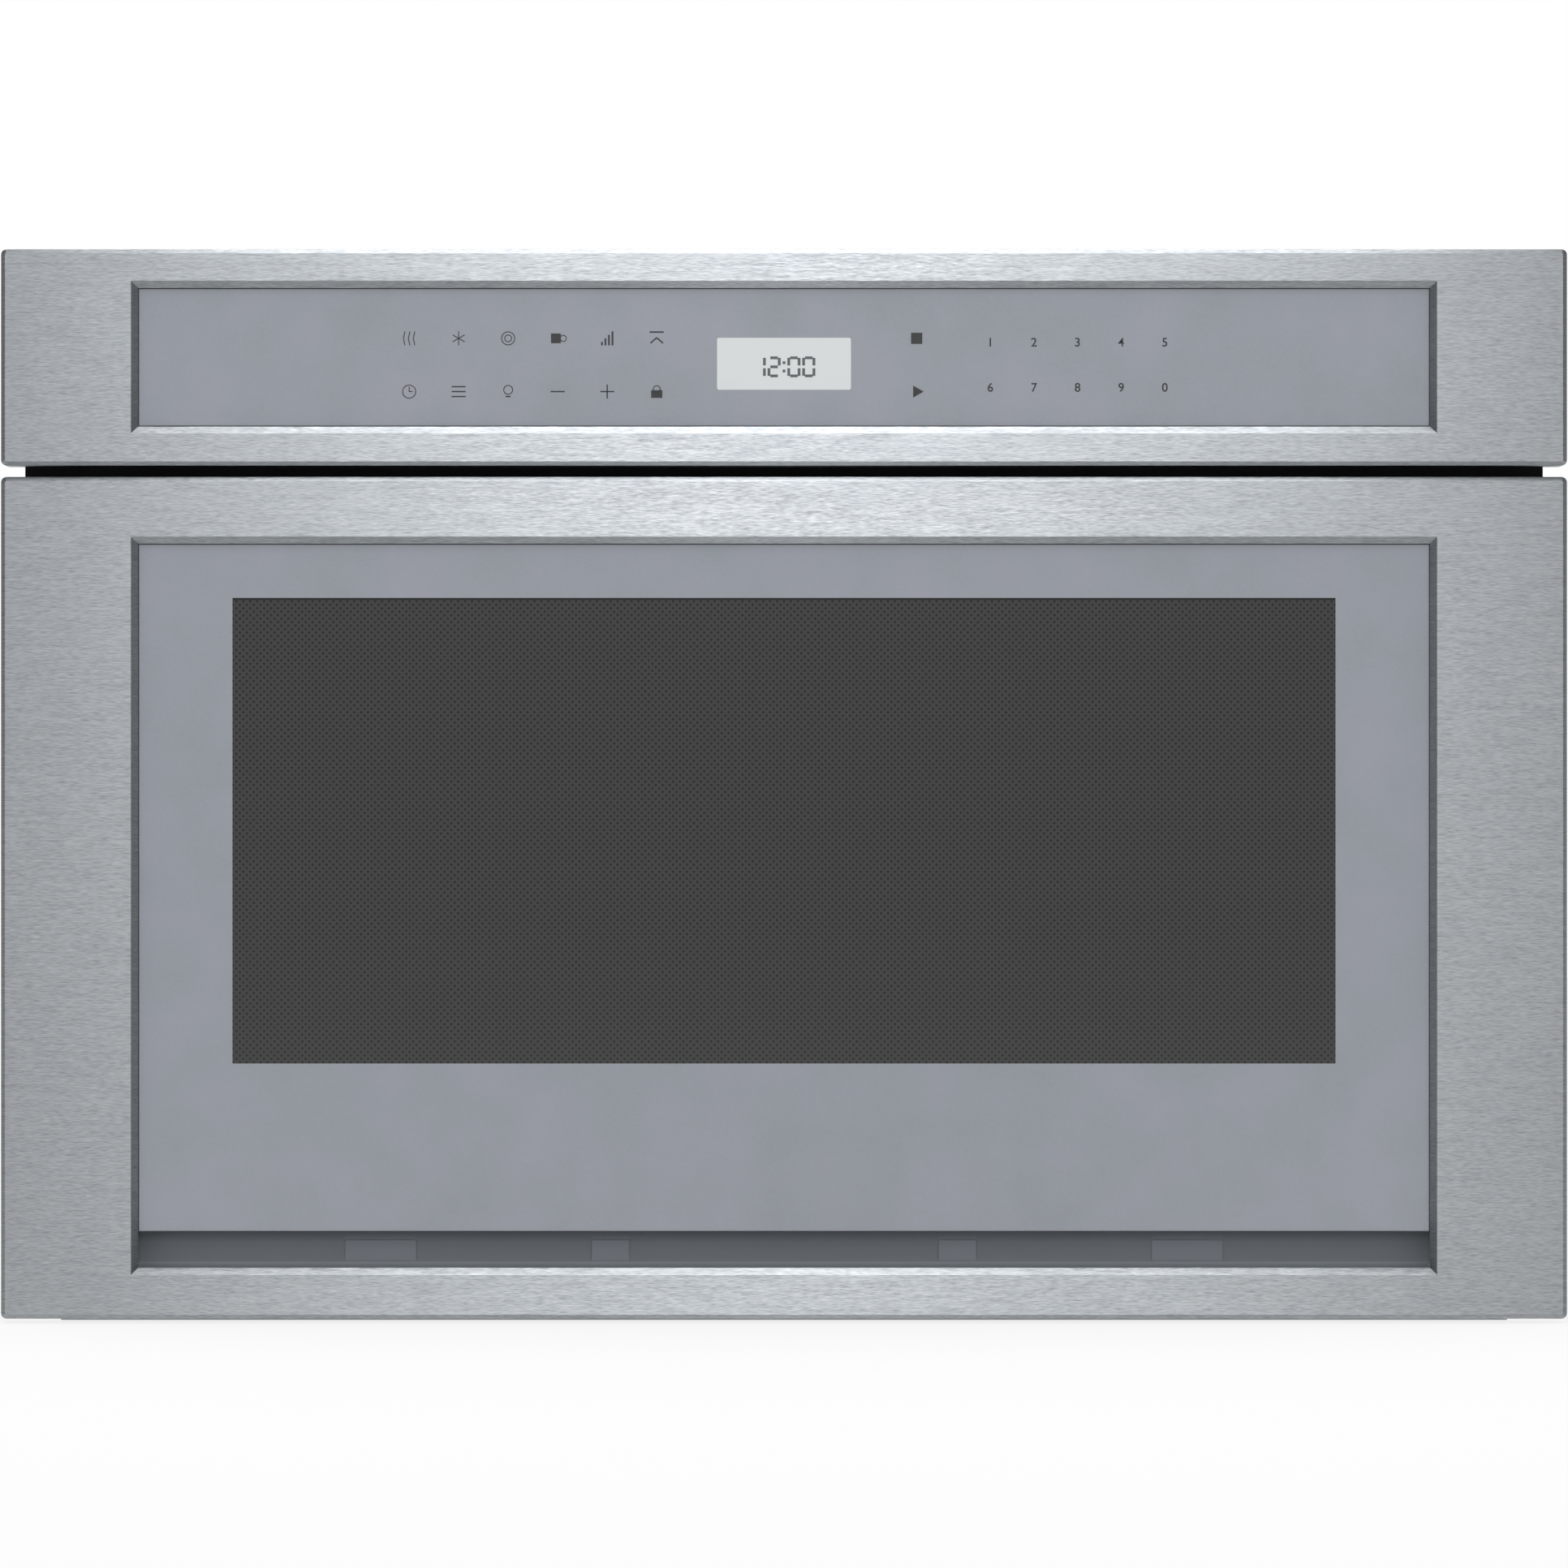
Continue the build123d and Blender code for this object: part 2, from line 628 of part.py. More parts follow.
with BuildPart() as fan_impeller:
    with BuildSketch(facing_front(impeller_y)):
        with Locations((fan_centre_x, fan_centre_z)):
            RegularPolygon(hub_diameter / 2, 2 * blade_count)
    extrude(amount=-impeller_depth)
    blade_centre = (fan_centre_x, impeller_y + impeller_depth / 2, fan_centre_z)
    impeller_axis = Plane(origin=blade_centre, z_dir=(0, -1, 0))
    with Locations(impeller_axis):
        with PolarLocations(blade_root, blade_count):
            Box(
                blade_reach - blade_root,
                blade_chord,
                blade_sheet,
                rotation=(blade_pitch_angle, 0, 0),
                align=(Align.MIN, Align.CENTER, Align.CENTER),
            )
    with BuildSketch(facing_front(impeller_y)):
        with Locations((fan_centre_x, fan_centre_z)):
            Circle(fan_shaft_diameter / 2)
    extrude(amount=fan_motor_length / 2)
fan_impeller.part.label = "fan_impeller"
export_step(fan_impeller.part, "parts/fan_impeller.step")

# Air duct: a tapered duct that leads the fan's air into the magnetron's fins.
duct_sheet = 1.5
duct_inset = 4.0
duct_start_y = magnetron_y + yoke_depth / 2 + part_gap
duct_small_width = yoke_width
duct_small_height = yoke_height - duct_inset
duct_centre_z = housing_top_z + yoke_height / 2

with BuildPart() as air_duct:
    with BuildSketch(Plane.YZ.offset(fan_centre_x - fan_frame_size / 2)):
        Polygon(
            (duct_start_y, duct_centre_z - duct_small_height / 2),
            (fan_arm_y, fan_centre_z - fan_frame_size / 2),
            (fan_arm_y, fan_centre_z + fan_frame_size / 2),
            (duct_start_y, duct_centre_z + duct_small_height / 2),
            align=None,
        )
    extrude(amount=fan_frame_size)
    with BuildSketch(Plane.XY.offset(fan_centre_z - fan_frame_size)):
        Polygon(
            (-duct_small_width / 2, duct_start_y),
            (duct_small_width / 2, duct_start_y),
            (fan_centre_x + fan_frame_size / 2, fan_arm_y),
            (fan_centre_x - fan_frame_size / 2, fan_arm_y),
            align=None,
        )
    extrude(amount=2 * fan_frame_size, mode=Mode.INTERSECT)
    duct_ends = air_duct.faces().filter_by(Axis.Y)
    offset(amount=-duct_sheet, openings=duct_ends)
air_duct.part.label = "air_duct"
export_step(air_duct.part, "parts/air_duct.step")

# ================================================================ power parts
# Transformer: laminated core with two windings, on a foot plate.
core_width = 96.0
core_depth = 64.0
core_height = 80.0
winding_bulge = 16.0
winding_height = 40.0
foot_sheet = 2.5
foot_overhang = 12.0
transformer_side_gap = 21.0
power_rear_gap = 30.0
transformer_x = case_inside - transformer_side_gap - core_width / 2 - foot_overhang
transformer_y = case_back - power_rear_gap - core_depth / 2 - winding_bulge

with BuildPart() as transformer:
    with BuildSketch(Plane.XY.offset(base_sheet)):
        with Locations((transformer_x, transformer_y)):
            Rectangle(core_width + 2 * foot_overhang, core_depth)
    extrude(amount=foot_sheet)
    with BuildSketch(Plane.XY.offset(base_sheet)):
        with Locations((transformer_x, transformer_y)):
            Rectangle(core_width, core_depth)
    extrude(amount=core_height)
    with BuildSketch(Plane.XY.offset(base_sheet + (core_height - winding_height) / 2)):
        with Locations((transformer_x, transformer_y)):
            Rectangle(core_width / 2, core_depth + 2 * winding_bulge)
            chamfer(vertices(), winding_bulge / 2)
    extrude(amount=winding_height)
transformer.part.label = "transformer"
export_step(transformer.part, "parts/transformer.step")

# Capacitor: a can with blunt corners on a strap foot, with its two terminals on top.
can_width = 54.0
can_depth = 34.0
can_height = 92.0
can_corner = 11.0
capacitor_side_gap = 42.0
capacitor_x = capacitor_side_gap + can_width / 2 + foot_overhang - case_inside
capacitor_y = transformer_y
terminal_spacing = 22.0
terminal_height = 10.0

with BuildPart() as capacitor:
    with BuildSketch(Plane.XY.offset(base_sheet)):
        with Locations((capacitor_x, capacitor_y)):
            Rectangle(can_width, can_depth)
            chamfer(vertices(), can_corner)
    extrude(amount=can_height)
    with BuildSketch(Plane.XY.offset(base_sheet)):
        with Locations((capacitor_x, capacitor_y)):
            Rectangle(can_width + 2 * foot_overhang, can_depth / 2)
    extrude(amount=foot_sheet)
    with BuildSketch(Plane.XY.offset(base_sheet + can_height)):
        with Locations((capacitor_x, capacitor_y)):
            with GridLocations(terminal_spacing, 0, 2, 1):
                Rectangle(foot_sheet, terminal_height)
    extrude(amount=terminal_height)
capacitor.part.label = "capacitor"
export_step(capacitor.part, "parts/capacitor.step")

# Noise filter: circuit board with a coil, a fuse and a relay, on four standoffs on the cavity roof.
board_sheet = 1.6
board_width = 100.0
board_depth = 84.0
board_side_gap = 20.0
board_setback = 105.0
board_x = board_side_gap + board_width / 2 - cavity_width / 2
board_y = cavity_back_y - board_setback
standoff_height = 8.0
standoff_size = 7.0
standoff_inset = 8.0
coil_diameter = 33.6
relay_width = 25.0
relay_depth = 21.0
fuse_length = 33.0
fuse_width = 8.4
board_part_height = 16.0
board_part_offset = 25.0

with BuildPart() as filter_board:
    with BuildSketch(Plane.XY.offset(roof_z)):
        with Locations((board_x, board_y)):
            with GridLocations(board_width - 2 * standoff_inset, board_depth - 2 * standoff_inset, 2, 2):
                Rectangle(standoff_size, standoff_size)
    extrude(amount=standoff_height)
    with BuildSketch(Plane.XY.offset(roof_z + standoff_height)):
        with Locations((board_x, board_y)):
            Rectangle(board_width, board_depth)
    extrude(amount=board_sheet)
    with BuildSketch(Plane.XY.offset(roof_z + standoff_height + board_sheet)):
        with Locations((board_x - board_part_offset, board_y)):
            RegularPolygon(coil_diameter / 2, hidden_sides)
        with Locations((board_x + board_part_offset, board_y + relay_depth)):
            Rectangle(relay_width, relay_depth)
        with Locations((board_x + board_part_offset, board_y - relay_depth)):
            Rectangle(fuse_length, fuse_width)
    extrude(amount=board_part_height)
filter_board.part.label = "filter_board"
export_step(filter_board.part, "parts/filter_board.step")

# ================================================================ control panel
return_flange = 18.0


def steel_front(low, high, opening_low, opening_high, depth):
    """A folded steel front: rounded skin, mitred bevel, seat for the glass, and a flange turned in behind."""
    recess_low = opening_low - bevel_width
    recess_high = opening_high + bevel_width
    recess_height = recess_high - recess_low
    recess_z = (recess_low + recess_high) / 2
    bevel_angle = 90 - Vector(0, bevel_width, bevel_depth).get_angle(Vector(0, 1, 0))
    with BuildPart() as front:
        with BuildSketch(facing_front(front_y)):
            area(-overall_width / 2, overall_width / 2, low, high)
        extrude(amount=-depth)
        fillet(front.edges().filter_by(Axis.Y), front_edge_radius)
        fillet(front.faces().sort_by(Axis.Y)[0].edges(), front_edge_radius)
        with BuildSketch(facing_front(front_y + skin)):
            area(-overall_width / 2 + skin, overall_width / 2 - skin, low + skin, high - skin)
        extrude(amount=-depth, mode=Mode.SUBTRACT)
        with BuildSketch(facing_front(front_y)):
            with Locations((0, recess_z)):
                Rectangle(recess_width + 2 * skin, recess_height + 2 * skin)
        extrude(amount=-bevel_depth, taper=bevel_angle)
        with BuildSketch(facing_front(front_y + bevel_depth)):
            area(
                -opening_width / 2 - seat_width,
                opening_width / 2 + seat_width,
                opening_low - seat_width,
                opening_high + seat_width,
            )
        extrude(amount=-skin)
        with BuildSketch(facing_front(front_y)):
            with Locations((0, recess_z)):
                Rectangle(recess_width, recess_height)
        extrude(amount=-bevel_depth, taper=bevel_angle, mode=Mode.SUBTRACT)
        with BuildSketch(facing_front(front_y)):
            area(-opening_width / 2, opening_width / 2, opening_low, opening_high)
        extrude(amount=-depth, mode=Mode.SUBTRACT)
        with BuildSketch(facing_front(front_y + depth - skin)):
            area(-overall_width / 2 + skin / 2, overall_width / 2 - skin / 2, low + skin / 2, high - skin / 2)
            area(
                -overall_width / 2 + return_flange,
                overall_width / 2 - return_flange,
                low + return_flange / 2,
                high - return_flange / 2,
                mode=Mode.SUBTRACT,
            )
        extrude(amount=-skin)
    return front


# Control panel frame: the fixed steel front above the drawer, screwed to the face plate.
control_panel_frame = steel_front(
    control_low, control_high, control_opening_low, control_opening_high, plate_y - front_y
)
control_panel_frame.part.label = "control_panel_frame"
export_step(control_panel_frame.part, "parts/control_panel_frame.step")

# Control glass: back-painted glass bonded behind the bevel, with the touch keys under it.
with BuildPart() as control_glass:
    with BuildSketch(facing_front(glass_face_y)):
        area(
            -opening_width / 2 - glass_overlap,
            opening_width / 2 + glass_overlap,
            control_opening_low - glass_overlap,
            control_opening_high + glass_overlap,
        )
    extrude(amount=-glass_thickness)
control_glass.part.label = "control_glass"
export_step(control_glass.part, "parts/control_glass.step")

# Display module: the clock display in its holder behind the glass.
display_width = 64.9
display_height = 25.2
display_below_glass_top = 24.1
display_depth = 8.0
display_holder = 5.0
display_z = control_opening_high - display_below_glass_top - display_height / 2

with BuildPart() as display_module:
    with BuildSketch(facing_front(glass_back_y)):
        with Locations((0, display_z)):
            Rectangle(display_width, display_height)
    extrude(amount=-display_depth)
    with BuildSketch(facing_front(glass_back_y + display_depth / 2)):
        with Locations((0, display_z)):
            Rectangle(display_width + 2 * display_holder, display_height + 2 * display_holder)
    extrude(amount=-display_depth / 2)
display_module.part.label = "display_module"
export_step(display_module.part, "parts/display_module.step")

# Control board: the touch and control circuit board behind the display, on four posts from the glass.
control_board_margin = 53.1
control_board_width = opening_width - 2 * control_board_margin
control_board_height = 54.0
post_size = 6.0
post_spacing = control_board_width - 4 * post_size
board_y_place = glass_back_y + display_depth
chip_height = 6.0
chip_spacing = 90.0
chip_width = 22.5
chip_length = 18.0
chip_count = 5

with BuildPart() as control_board:
    with BuildSketch(facing_front(board_y_place)):
        with Locations((0, wiring_window_z)):
            Rectangle(control_board_width, control_board_height)
    extrude(amount=-board_sheet)
    with BuildSketch(facing_front(glass_back_y)):
        with Locations((0, wiring_window_z)):
            with GridLocations(post_spacing, control_board_height - 2 * post_size, 2, 2):
                Rectangle(post_size, post_size)
    extrude(amount=-display_depth)
    with BuildSketch(facing_front(board_y_place + board_sheet)):
        with Locations((0, wiring_window_z)):
            with GridLocations(chip_spacing, 0, chip_count, 1):
                Rectangle(chip_width, chip_length)
    extrude(amount=-chip_height)
control_board.part.label = "control_board"
export_step(control_board.part, "parts/control_board.step")

# ================================================================ drawer front
inner_panel_sheet = 1.2
choke_depth = 4.8
drawer_frame_depth = front_depth - choke_depth - inner_panel_sheet
inner_panel_y = front_y + drawer_frame_depth
choke_y = inner_panel_y + inner_panel_sheet

# Drawer front frame: the moving steel front, with a deeper recess for the glass and the finger pull.
drawer_front_frame = steel_front(
    drawer_low, drawer_high, drawer_opening_low, drawer_opening_high, drawer_frame_depth
)
drawer_front_frame.part.label = "drawer_front_frame"
export_step(drawer_front_frame.part, "parts/drawer_front_frame.step")

# Drawer glass: bonded behind the bevel on three sides; its ground lower edge hangs free over the pull.
ground_edge = 0.6

with BuildPart() as drawer_glass:
    with BuildSketch(facing_front(glass_face_y)):
        area(
            -opening_width / 2 - glass_overlap,
            opening_width / 2 + glass_overlap,
            pull_high,
            drawer_opening_high + glass_overlap,
        )
    extrude(amount=-glass_thickness)
    chamfer(drawer_glass.faces().sort_by(Axis.Z)[0].edges().filter_by(Axis.X), ground_edge)
drawer_glass.part.label = "drawer_glass"
export_step(drawer_glass.part, "parts/drawer_glass.step")

# Window screen: pierced metal sheet behind the glass that shows as the dotted window.
screen_border = 10.0
screen_sheet = 1.0
window_high = drawer_opening_high - window_below_glass_top
window_z = window_high - window_height / 2

with BuildPart() as window_screen:
    with BuildSketch(facing_front(glass_back_y)):
        with Locations((0, window_z)):
            Rectangle(window_width + 2 * screen_border, window_height + 2 * screen_border)
    extrude(amount=-screen_sheet)
window_screen.part.label = "window_screen"
export_step(window_screen.part, "parts/window_screen.step")

# Pull channel: moulded trough under the glass. Fingers go in through the slot and up behind the glass.
pull_depth = 18.0
pull_rise = 20.0
pull_wall = 1.8
pull_corner = 4.2
pad_rise = 0.6
pad_height = 10.0
pad_lift = 3.0
outer_pad_x = 195.9
outer_pad_width = 34.4
inner_pad_x = 84.3
inner_pad_width = 18.1
pull_back_y = glass_face_y + pull_depth
pull_top_z = pull_high + pull_rise
pull_half = opening_width / 2 + pull_wall

with BuildPart() as pull_channel:
    with BuildSketch(Plane.YZ.offset(-pull_half)):
        with BuildLine():
            Polyline(
                (glass_face_y, drawer_opening_low - pull_wall),
                (pull_back_y + pull_wall, drawer_opening_low - pull_wall),
                (pull_back_y + pull_wall, pull_top_z + pull_wall),
                (glass_back_y, pull_top_z + pull_wall),
                (glass_back_y, pull_high),
                (glass_face_y, pull_high),
                close=True,
            )
        make_face()
    extrude(amount=2 * pull_half)
    with BuildSketch(Plane.YZ.offset(-opening_width / 2)):
        area(glass_face_y, pull_back_y, drawer_opening_low, pull_top_z)
        fillet(vertices().group_by(Axis.X)[-1], pull_corner)
    extrude(amount=opening_width, mode=Mode.SUBTRACT)
    with BuildSketch(facing_front(pull_back_y)):
        with Locations((0, drawer_opening_low + pad_lift + pad_height / 2)):
            with Locations((-outer_pad_x, 0), (outer_pad_x, 0)):
                Rectangle(outer_pad_width, pad_height)
            with Locations((-inner_pad_x, 0), (inner_pad_x, 0)):
                Rectangle(inner_pad_width, pad_height)
    extrude(amount=pad_rise)
pull_channel.part.label = "pull_channel"
export_step(pull_channel.part, "parts/pull_channel.step")

# Inner panel: steel plate that closes the back of the drawer front and carries the tub.
panel_side_gap = 0.8
sight_side_margin = 30.0
sight_low_margin = 20.0
sight_width = cavity_width - 2 * sight_side_margin
tub_half = cavity_width / 2 - tub_side_gap
tub_low = cavity_rise + tub_floor_gap
tub_high = cavity_high - tub_top_gap
sight_low = tub_low + sight_low_margin
sight_high = tub_high - sight_low_margin / 2

with BuildPart() as inner_panel:
    with BuildSketch(facing_front(inner_panel_y)):
        area(
            -overall_width / 2 + panel_side_gap,
            overall_width / 2 - panel_side_gap,
            drawer_low + panel_side_gap,
            drawer_high - panel_side_gap,
        )
        area(-sight_width / 2, sight_width / 2, sight_low, sight_high, mode=Mode.SUBTRACT)
        fillet(vertices().filter_by_position(Axis.X, -sight_width, sight_width), cavity_corner / 2)
    extrude(amount=-inner_panel_sheet)
inner_panel.part.label = "inner_panel"
export_step(inner_panel.part, "parts/inner_panel.step")

# Inner glass: seals the sight opening from the front side of the inner panel.
inner_glass_thickness = 3.0
inner_glass_overlap = 10.0

with BuildPart() as inner_glass:
    with BuildSketch(facing_front(inner_panel_y)):
        area(
            -sight_width / 2 - inner_glass_overlap,
            sight_width / 2 + inner_glass_overlap,
            sight_low - inner_glass_overlap,
            sight_high + inner_glass_overlap,
        )
    extrude(amount=inner_glass_thickness)
inner_glass.part.label = "inner_glass"
export_step(inner_glass.part, "parts/inner_glass.step")

# Choke frame: metal ring round the tub with a comb of fingers that stops microwaves at the seal gap.
choke_margin = 22.0
choke_wall = 1.0
choke_cover_sheet = 1.2
comb_pitch = 28.0
comb_slot = 3.0
comb_bare_ends = 2
ring_inner_half = tub_half + part_gap
ring_inner_low = tub_low - part_gap
ring_inner_high = cavity_high - part_gap
ring_z = (ring_inner_low + ring_inner_high) / 2
ring_width = 2 * ring_inner_half + 2 * choke_margin
ring_height = ring_inner_high - ring_inner_low + 2 * choke_margin
comb_columns = int(ring_width / comb_pitch) - comb_bare_ends
comb_rows = int(ring_height / comb_pitch) - comb_bare_ends

with BuildPart() as choke_frame:
    with BuildSketch(facing_front(choke_y)):
        with Locations((0, ring_z)):
            Rectangle(ring_width, ring_height)
            Rectangle(2 * ring_inner_half, ring_inner_high - ring_inner_low, mode=Mode.SUBTRACT)
    extrude(amount=-choke_wall)
    with BuildSketch(facing_front(choke_y)):
        with Locations((0, ring_z)):
            Rectangle(ring_width, ring_height)
            Rectangle(ring_width - 2 * choke_wall, ring_height - 2 * choke_wall, mode=Mode.SUBTRACT)
            Rectangle(
                2 * (ring_inner_half + choke_wall + choke_margin / 2),
                ring_inner_high - ring_inner_low + 2 * choke_wall + choke_margin,
            )
            Rectangle(
                2 * ring_inner_half + choke_margin,
                ring_inner_high - ring_inner_low + choke_margin,
                mode=Mode.SUBTRACT,
            )
    extrude(amount=-(choke_depth - choke_cover_sheet))
    with BuildSketch(facing_front(choke_y + choke_wall)):
        with Locations((0, ring_z)):
            with GridLocations(comb_pitch, ring_height - choke_margin - choke_wall, comb_columns, 2):
                Rectangle(comb_slot, 3 * choke_wall)
            with GridLocations(ring_width - choke_margin - choke_wall, comb_pitch, 2, comb_rows):
                Rectangle(3 * choke_wall, comb_slot)
    extrude(amount=-choke_depth, mode=Mode.SUBTRACT)
choke_frame.part.label = "choke_frame"
export_step(choke_frame.part, "parts/choke_frame.step")

# Choke cover: plastic ring that snaps over the comb.
with BuildPart() as choke_cover:
    with BuildSketch(facing_front(drawer_back_y - choke_cover_sheet)):
        with Locations((0, ring_z)):
            Rectangle(ring_width, ring_height)
            Rectangle(2 * ring_inner_half, ring_inner_high - ring_inner_low, mode=Mode.SUBTRACT)
    extrude(amount=-choke_cover_sheet)
choke_cover.part.label = "choke_cover"
export_step(choke_cover.part, "parts/choke_cover.step")

# ================================================================ drawer tub
# Drawer tub: drawn steel box, open at the top, with rounded corners, a rolled rim and a sight opening.
tub_corner = 16.0
rim_width = 3.0
rim_height = 2.0
tub_back_y = cavity_back_y - tub_back_gap

with BuildPart() as drawer_tub:
    with BuildSketch(Plane.XY.offset(tub_low)):
        area(-tub_half, tub_half, choke_y, tub_back_y)
        fillet(vertices().group_by(Axis.Y)[-1], tub_corner)
    extrude(amount=tub_high - tub_low)
    with BuildSketch(Plane.XY.offset(tub_high - rim_height)):
        area(-tub_half - rim_width, tub_half + rim_width, body_y, tub_back_y + rim_width)
        fillet(vertices().group_by(Axis.Y)[-1], tub_corner + rim_width)
    extrude(amount=rim_height)
    with BuildSketch(Plane.XY.offset(tub_low + tub_sheet)):
        area(-tub_half + tub_sheet, tub_half - tub_sheet, choke_y + tub_sheet, tub_back_y - tub_sheet)
        fillet(vertices().group_by(Axis.Y)[-1], tub_corner - tub_sheet)
    extrude(amount=tub_high - tub_low, mode=Mode.SUBTRACT)
    with BuildSketch(facing_front(choke_y)):
        area(-sight_width / 2, sight_width / 2, sight_low, sight_high)
    extrude(amount=-2 * tub_sheet, mode=Mode.SUBTRACT)
drawer_tub.part.label = "drawer_tub"
export_step(drawer_tub.part, "parts/drawer_tub.step")

# Ceramic tray: flat glass-ceramic plate bonded to the tub floor.
tray_gap = 1.0

with BuildPart() as ceramic_tray:
    with BuildSketch(Plane.XY.offset(tub_low + tub_sheet)):
        area(
            -tub_half + tub_sheet + tray_gap,
            tub_half - tub_sheet - tray_gap,
            choke_y + tub_sheet + tray_gap,
            tub_back_y - tub_sheet - tray_gap,
        )
        fillet(vertices().group_by(Axis.Y)[-1], tub_corner - tub_sheet - tray_gap)
    extrude(amount=tray_thickness)
ceramic_tray.part.label = "ceramic_tray"
export_step(ceramic_tray.part, "parts/ceramic_tray.step")

# Interlock hooks: two plastic arms on the inner panel that reach through the face plate to the switches.
hook_width = 8.0
hook_lead_in = 2.0
hook_height = 10.0
hook_reach = 34.0
hook_foot = 22.0
hook_foot_sheet = 3.0

with BuildPart() as interlock_hooks:
    with BuildSketch(facing_front(choke_y)):
        with Locations((-hook_x, hook_z), (hook_x, hook_z)):
            Rectangle(hook_foot, hook_foot)
    extrude(amount=-hook_foot_sheet)
    with BuildSketch(facing_front(choke_y)):
        with Locations((-hook_x, hook_z), (hook_x, hook_z)):
            Rectangle(hook_width, hook_height)
    extrude(amount=-hook_reach)
    hook_tips = interlock_hooks.faces().group_by(Axis.Y)[-1]
    chamfer(hook_tips.edges().filter_by(Axis.X), hook_lead_in)
interlock_hooks.part.label = "interlock_hooks"
export_step(interlock_hooks.part, "parts/interlock_hooks.step")

# ================================================================ telescopic slides
# Each slide is three nested channels. The outer one is fixed to the side panel, the inner one to the drawer.
slide_start_y = body_y + case_sheet
outer_web_x = case_inside - rail_sheet
outer_mouth_x = case_inside - slide_width
middle_height = slide_height - 2 * (rail_sheet + race_gap)
inner_height = middle_height - 2 * (rail_sheet + race_gap)
web_gap = 3.2
middle_web_x = outer_web_x - web_gap
middle_mouth_x = outer_mouth_x + part_gap
inner_web_x = outer_mouth_x - rail_sheet
inner_mouth_x = middle_web_x - rail_sheet - web_gap
cage_sheet = 0.8
cage_end_gap = 22.0
cage_length = slide_length - drawer_travel / 2 - 2 * cage_end_gap
cage_start_y = slide_start_y + cage_end_gap + drawer_travel / 4
outer_cage_x = outer_web_x - (web_gap - cage_sheet) / 2
inner_cage_x = middle_web_x - rail_sheet - (web_gap - cage_sheet) / 2
outer_cage_height = slide_height - 2 * rail_sheet - race_gap + cage_sheet
inner_cage_height = middle_height - 2 * rail_sheet - race_gap + cage_sheet


def channel(sign, web_x, mouth_x, height, sheet):
    """A C section in the open sketch: its web at web_x and its flanges running to mouth_x."""
    with Locations((sign * (web_x + mouth_x) / 2, slide_rise)):
        Rectangle(abs(web_x - mouth_x), height)
    inside_x = web_x + sheet if web_x < mouth_x else web_x - sheet
    with Locations((sign * (inside_x + mouth_x) / 2, slide_rise)):
        Rectangle(abs(inside_x - mouth_x), height - 2 * sheet, mode=Mode.SUBTRACT)


# Outer members: a pair, fixed to the side panels.
with BuildPart() as slide_outers:
    with BuildSketch(facing_front(slide_start_y)):
        for sign in (-1, 1):
            channel(sign, case_inside, outer_mouth_x, slide_height, rail_sheet)
    extrude(amount=-slide_length)
slide_outers.part.label = "slide_outers"
export_step(slide_outers.part, "parts/slide_outers.step")

# Inner members: a pair, screwed to the drawer's brackets.
with BuildPart() as slide_inners:
    with BuildSketch(facing_front(slide_start_y)):
        for sign in (-1, 1):
            channel(sign, inner_web_x, inner_mouth_x, inner_height, rail_sheet)
    extrude(amount=-slide_length)
slide_inners.part.label = "slide_inners"
export_step(slide_inners.part, "parts/slide_inners.step")

# Middle members run at half the drawer's speed. The ball cages on their two sides run at a quarter
# and three quarters of it, so they stay between the channels at both ends of the travel.
for side, sign in (("left", -1), ("right", 1)):
    with BuildPart() as slide_middle:
        with BuildSketch(facing_front(slide_start_y)):
            channel(sign, middle_web_x, middle_mouth_x, middle_height, rail_sheet)
        extrude(amount=-slide_length)
    slide_middle.part.label = f"{side}_slide_middle"
    export_step(slide_middle.part, f"parts/{side}_slide_middle.step")

    with BuildPart() as outer_cage:
        with BuildSketch(facing_front(cage_start_y)):
            channel(sign, outer_cage_x, middle_mouth_x + rail_sheet, outer_cage_height, cage_sheet)
        extrude(amount=-cage_length)
    outer_cage.part.label = f"{side}_outer_cage"
    export_step(outer_cage.part, f"parts/{side}_outer_cage.step")

    with BuildPart() as inner_cage:
        with BuildSketch(facing_front(cage_start_y)):
            channel(sign, inner_cage_x, middle_mouth_x + part_gap, inner_cage_height, cage_sheet)
        extrude(amount=-cage_length)
    inner_cage.part.label = f"{side}_inner_cage"
    export_step(inner_cage.part, f"parts/{side}_inner_cage.step")

# ================================================================ rack and pinion drive
pitch_radius = tooth_module * pinion_teeth / 2
rack_pitch = pi * tooth_module
shaft_y = body_y + shaft_setback
rack_line_z = slide_rise - rack_drop
shaft_z = rack_line_z - pitch_radius
rack_back_height = 12.0
bracket_sheet = 1.5
bracket_x = inner_web_x - bracket_sheet
rack_x = bracket_x - rack_width
lead_teeth = 3
rack_teeth = ceil((drawer_travel + 2 * lead_teeth * rack_pitch) / rack_pitch)
rack_start_y = shaft_y - lead_teeth * rack_pitch
rack_length = rack_teeth * rack_pitch


def tooth(module, teeth, flank_steps):
    """Outline of one gear tooth that points along +X, with involute flanks from the base circle."""
    pitch_r = module * teeth / 2
    base_r = pitch_r * cos(pressure_angle)
    tip_r = pitch_r + addendum / tooth_module * module
    root_r = pitch_r - dedendum / tooth_module * module
    half_tooth = (pi * module / 2 - backlash) / (2 * pitch_r)
    start_r = max(base_r, root_r)
    flank = [((root_r - module / 4), half_tooth + tan(pressure_angle) - pressure_angle)]
    for step in range(flank_steps + 1):
        r = start_r + (tip_r - start_r) * step / flank_steps
        roll = acos(base_r / r)
        flank.append((r, half_tooth + tan(pressure_angle) - pressure_angle - (tan(roll) - roll)))
    lower = [(r * cos(turn), -r * sin(turn)) for r, turn in flank]
    upper = [(r * cos(turn), r * sin(turn)) for r, turn in reversed(flank)]
    return lower + upper


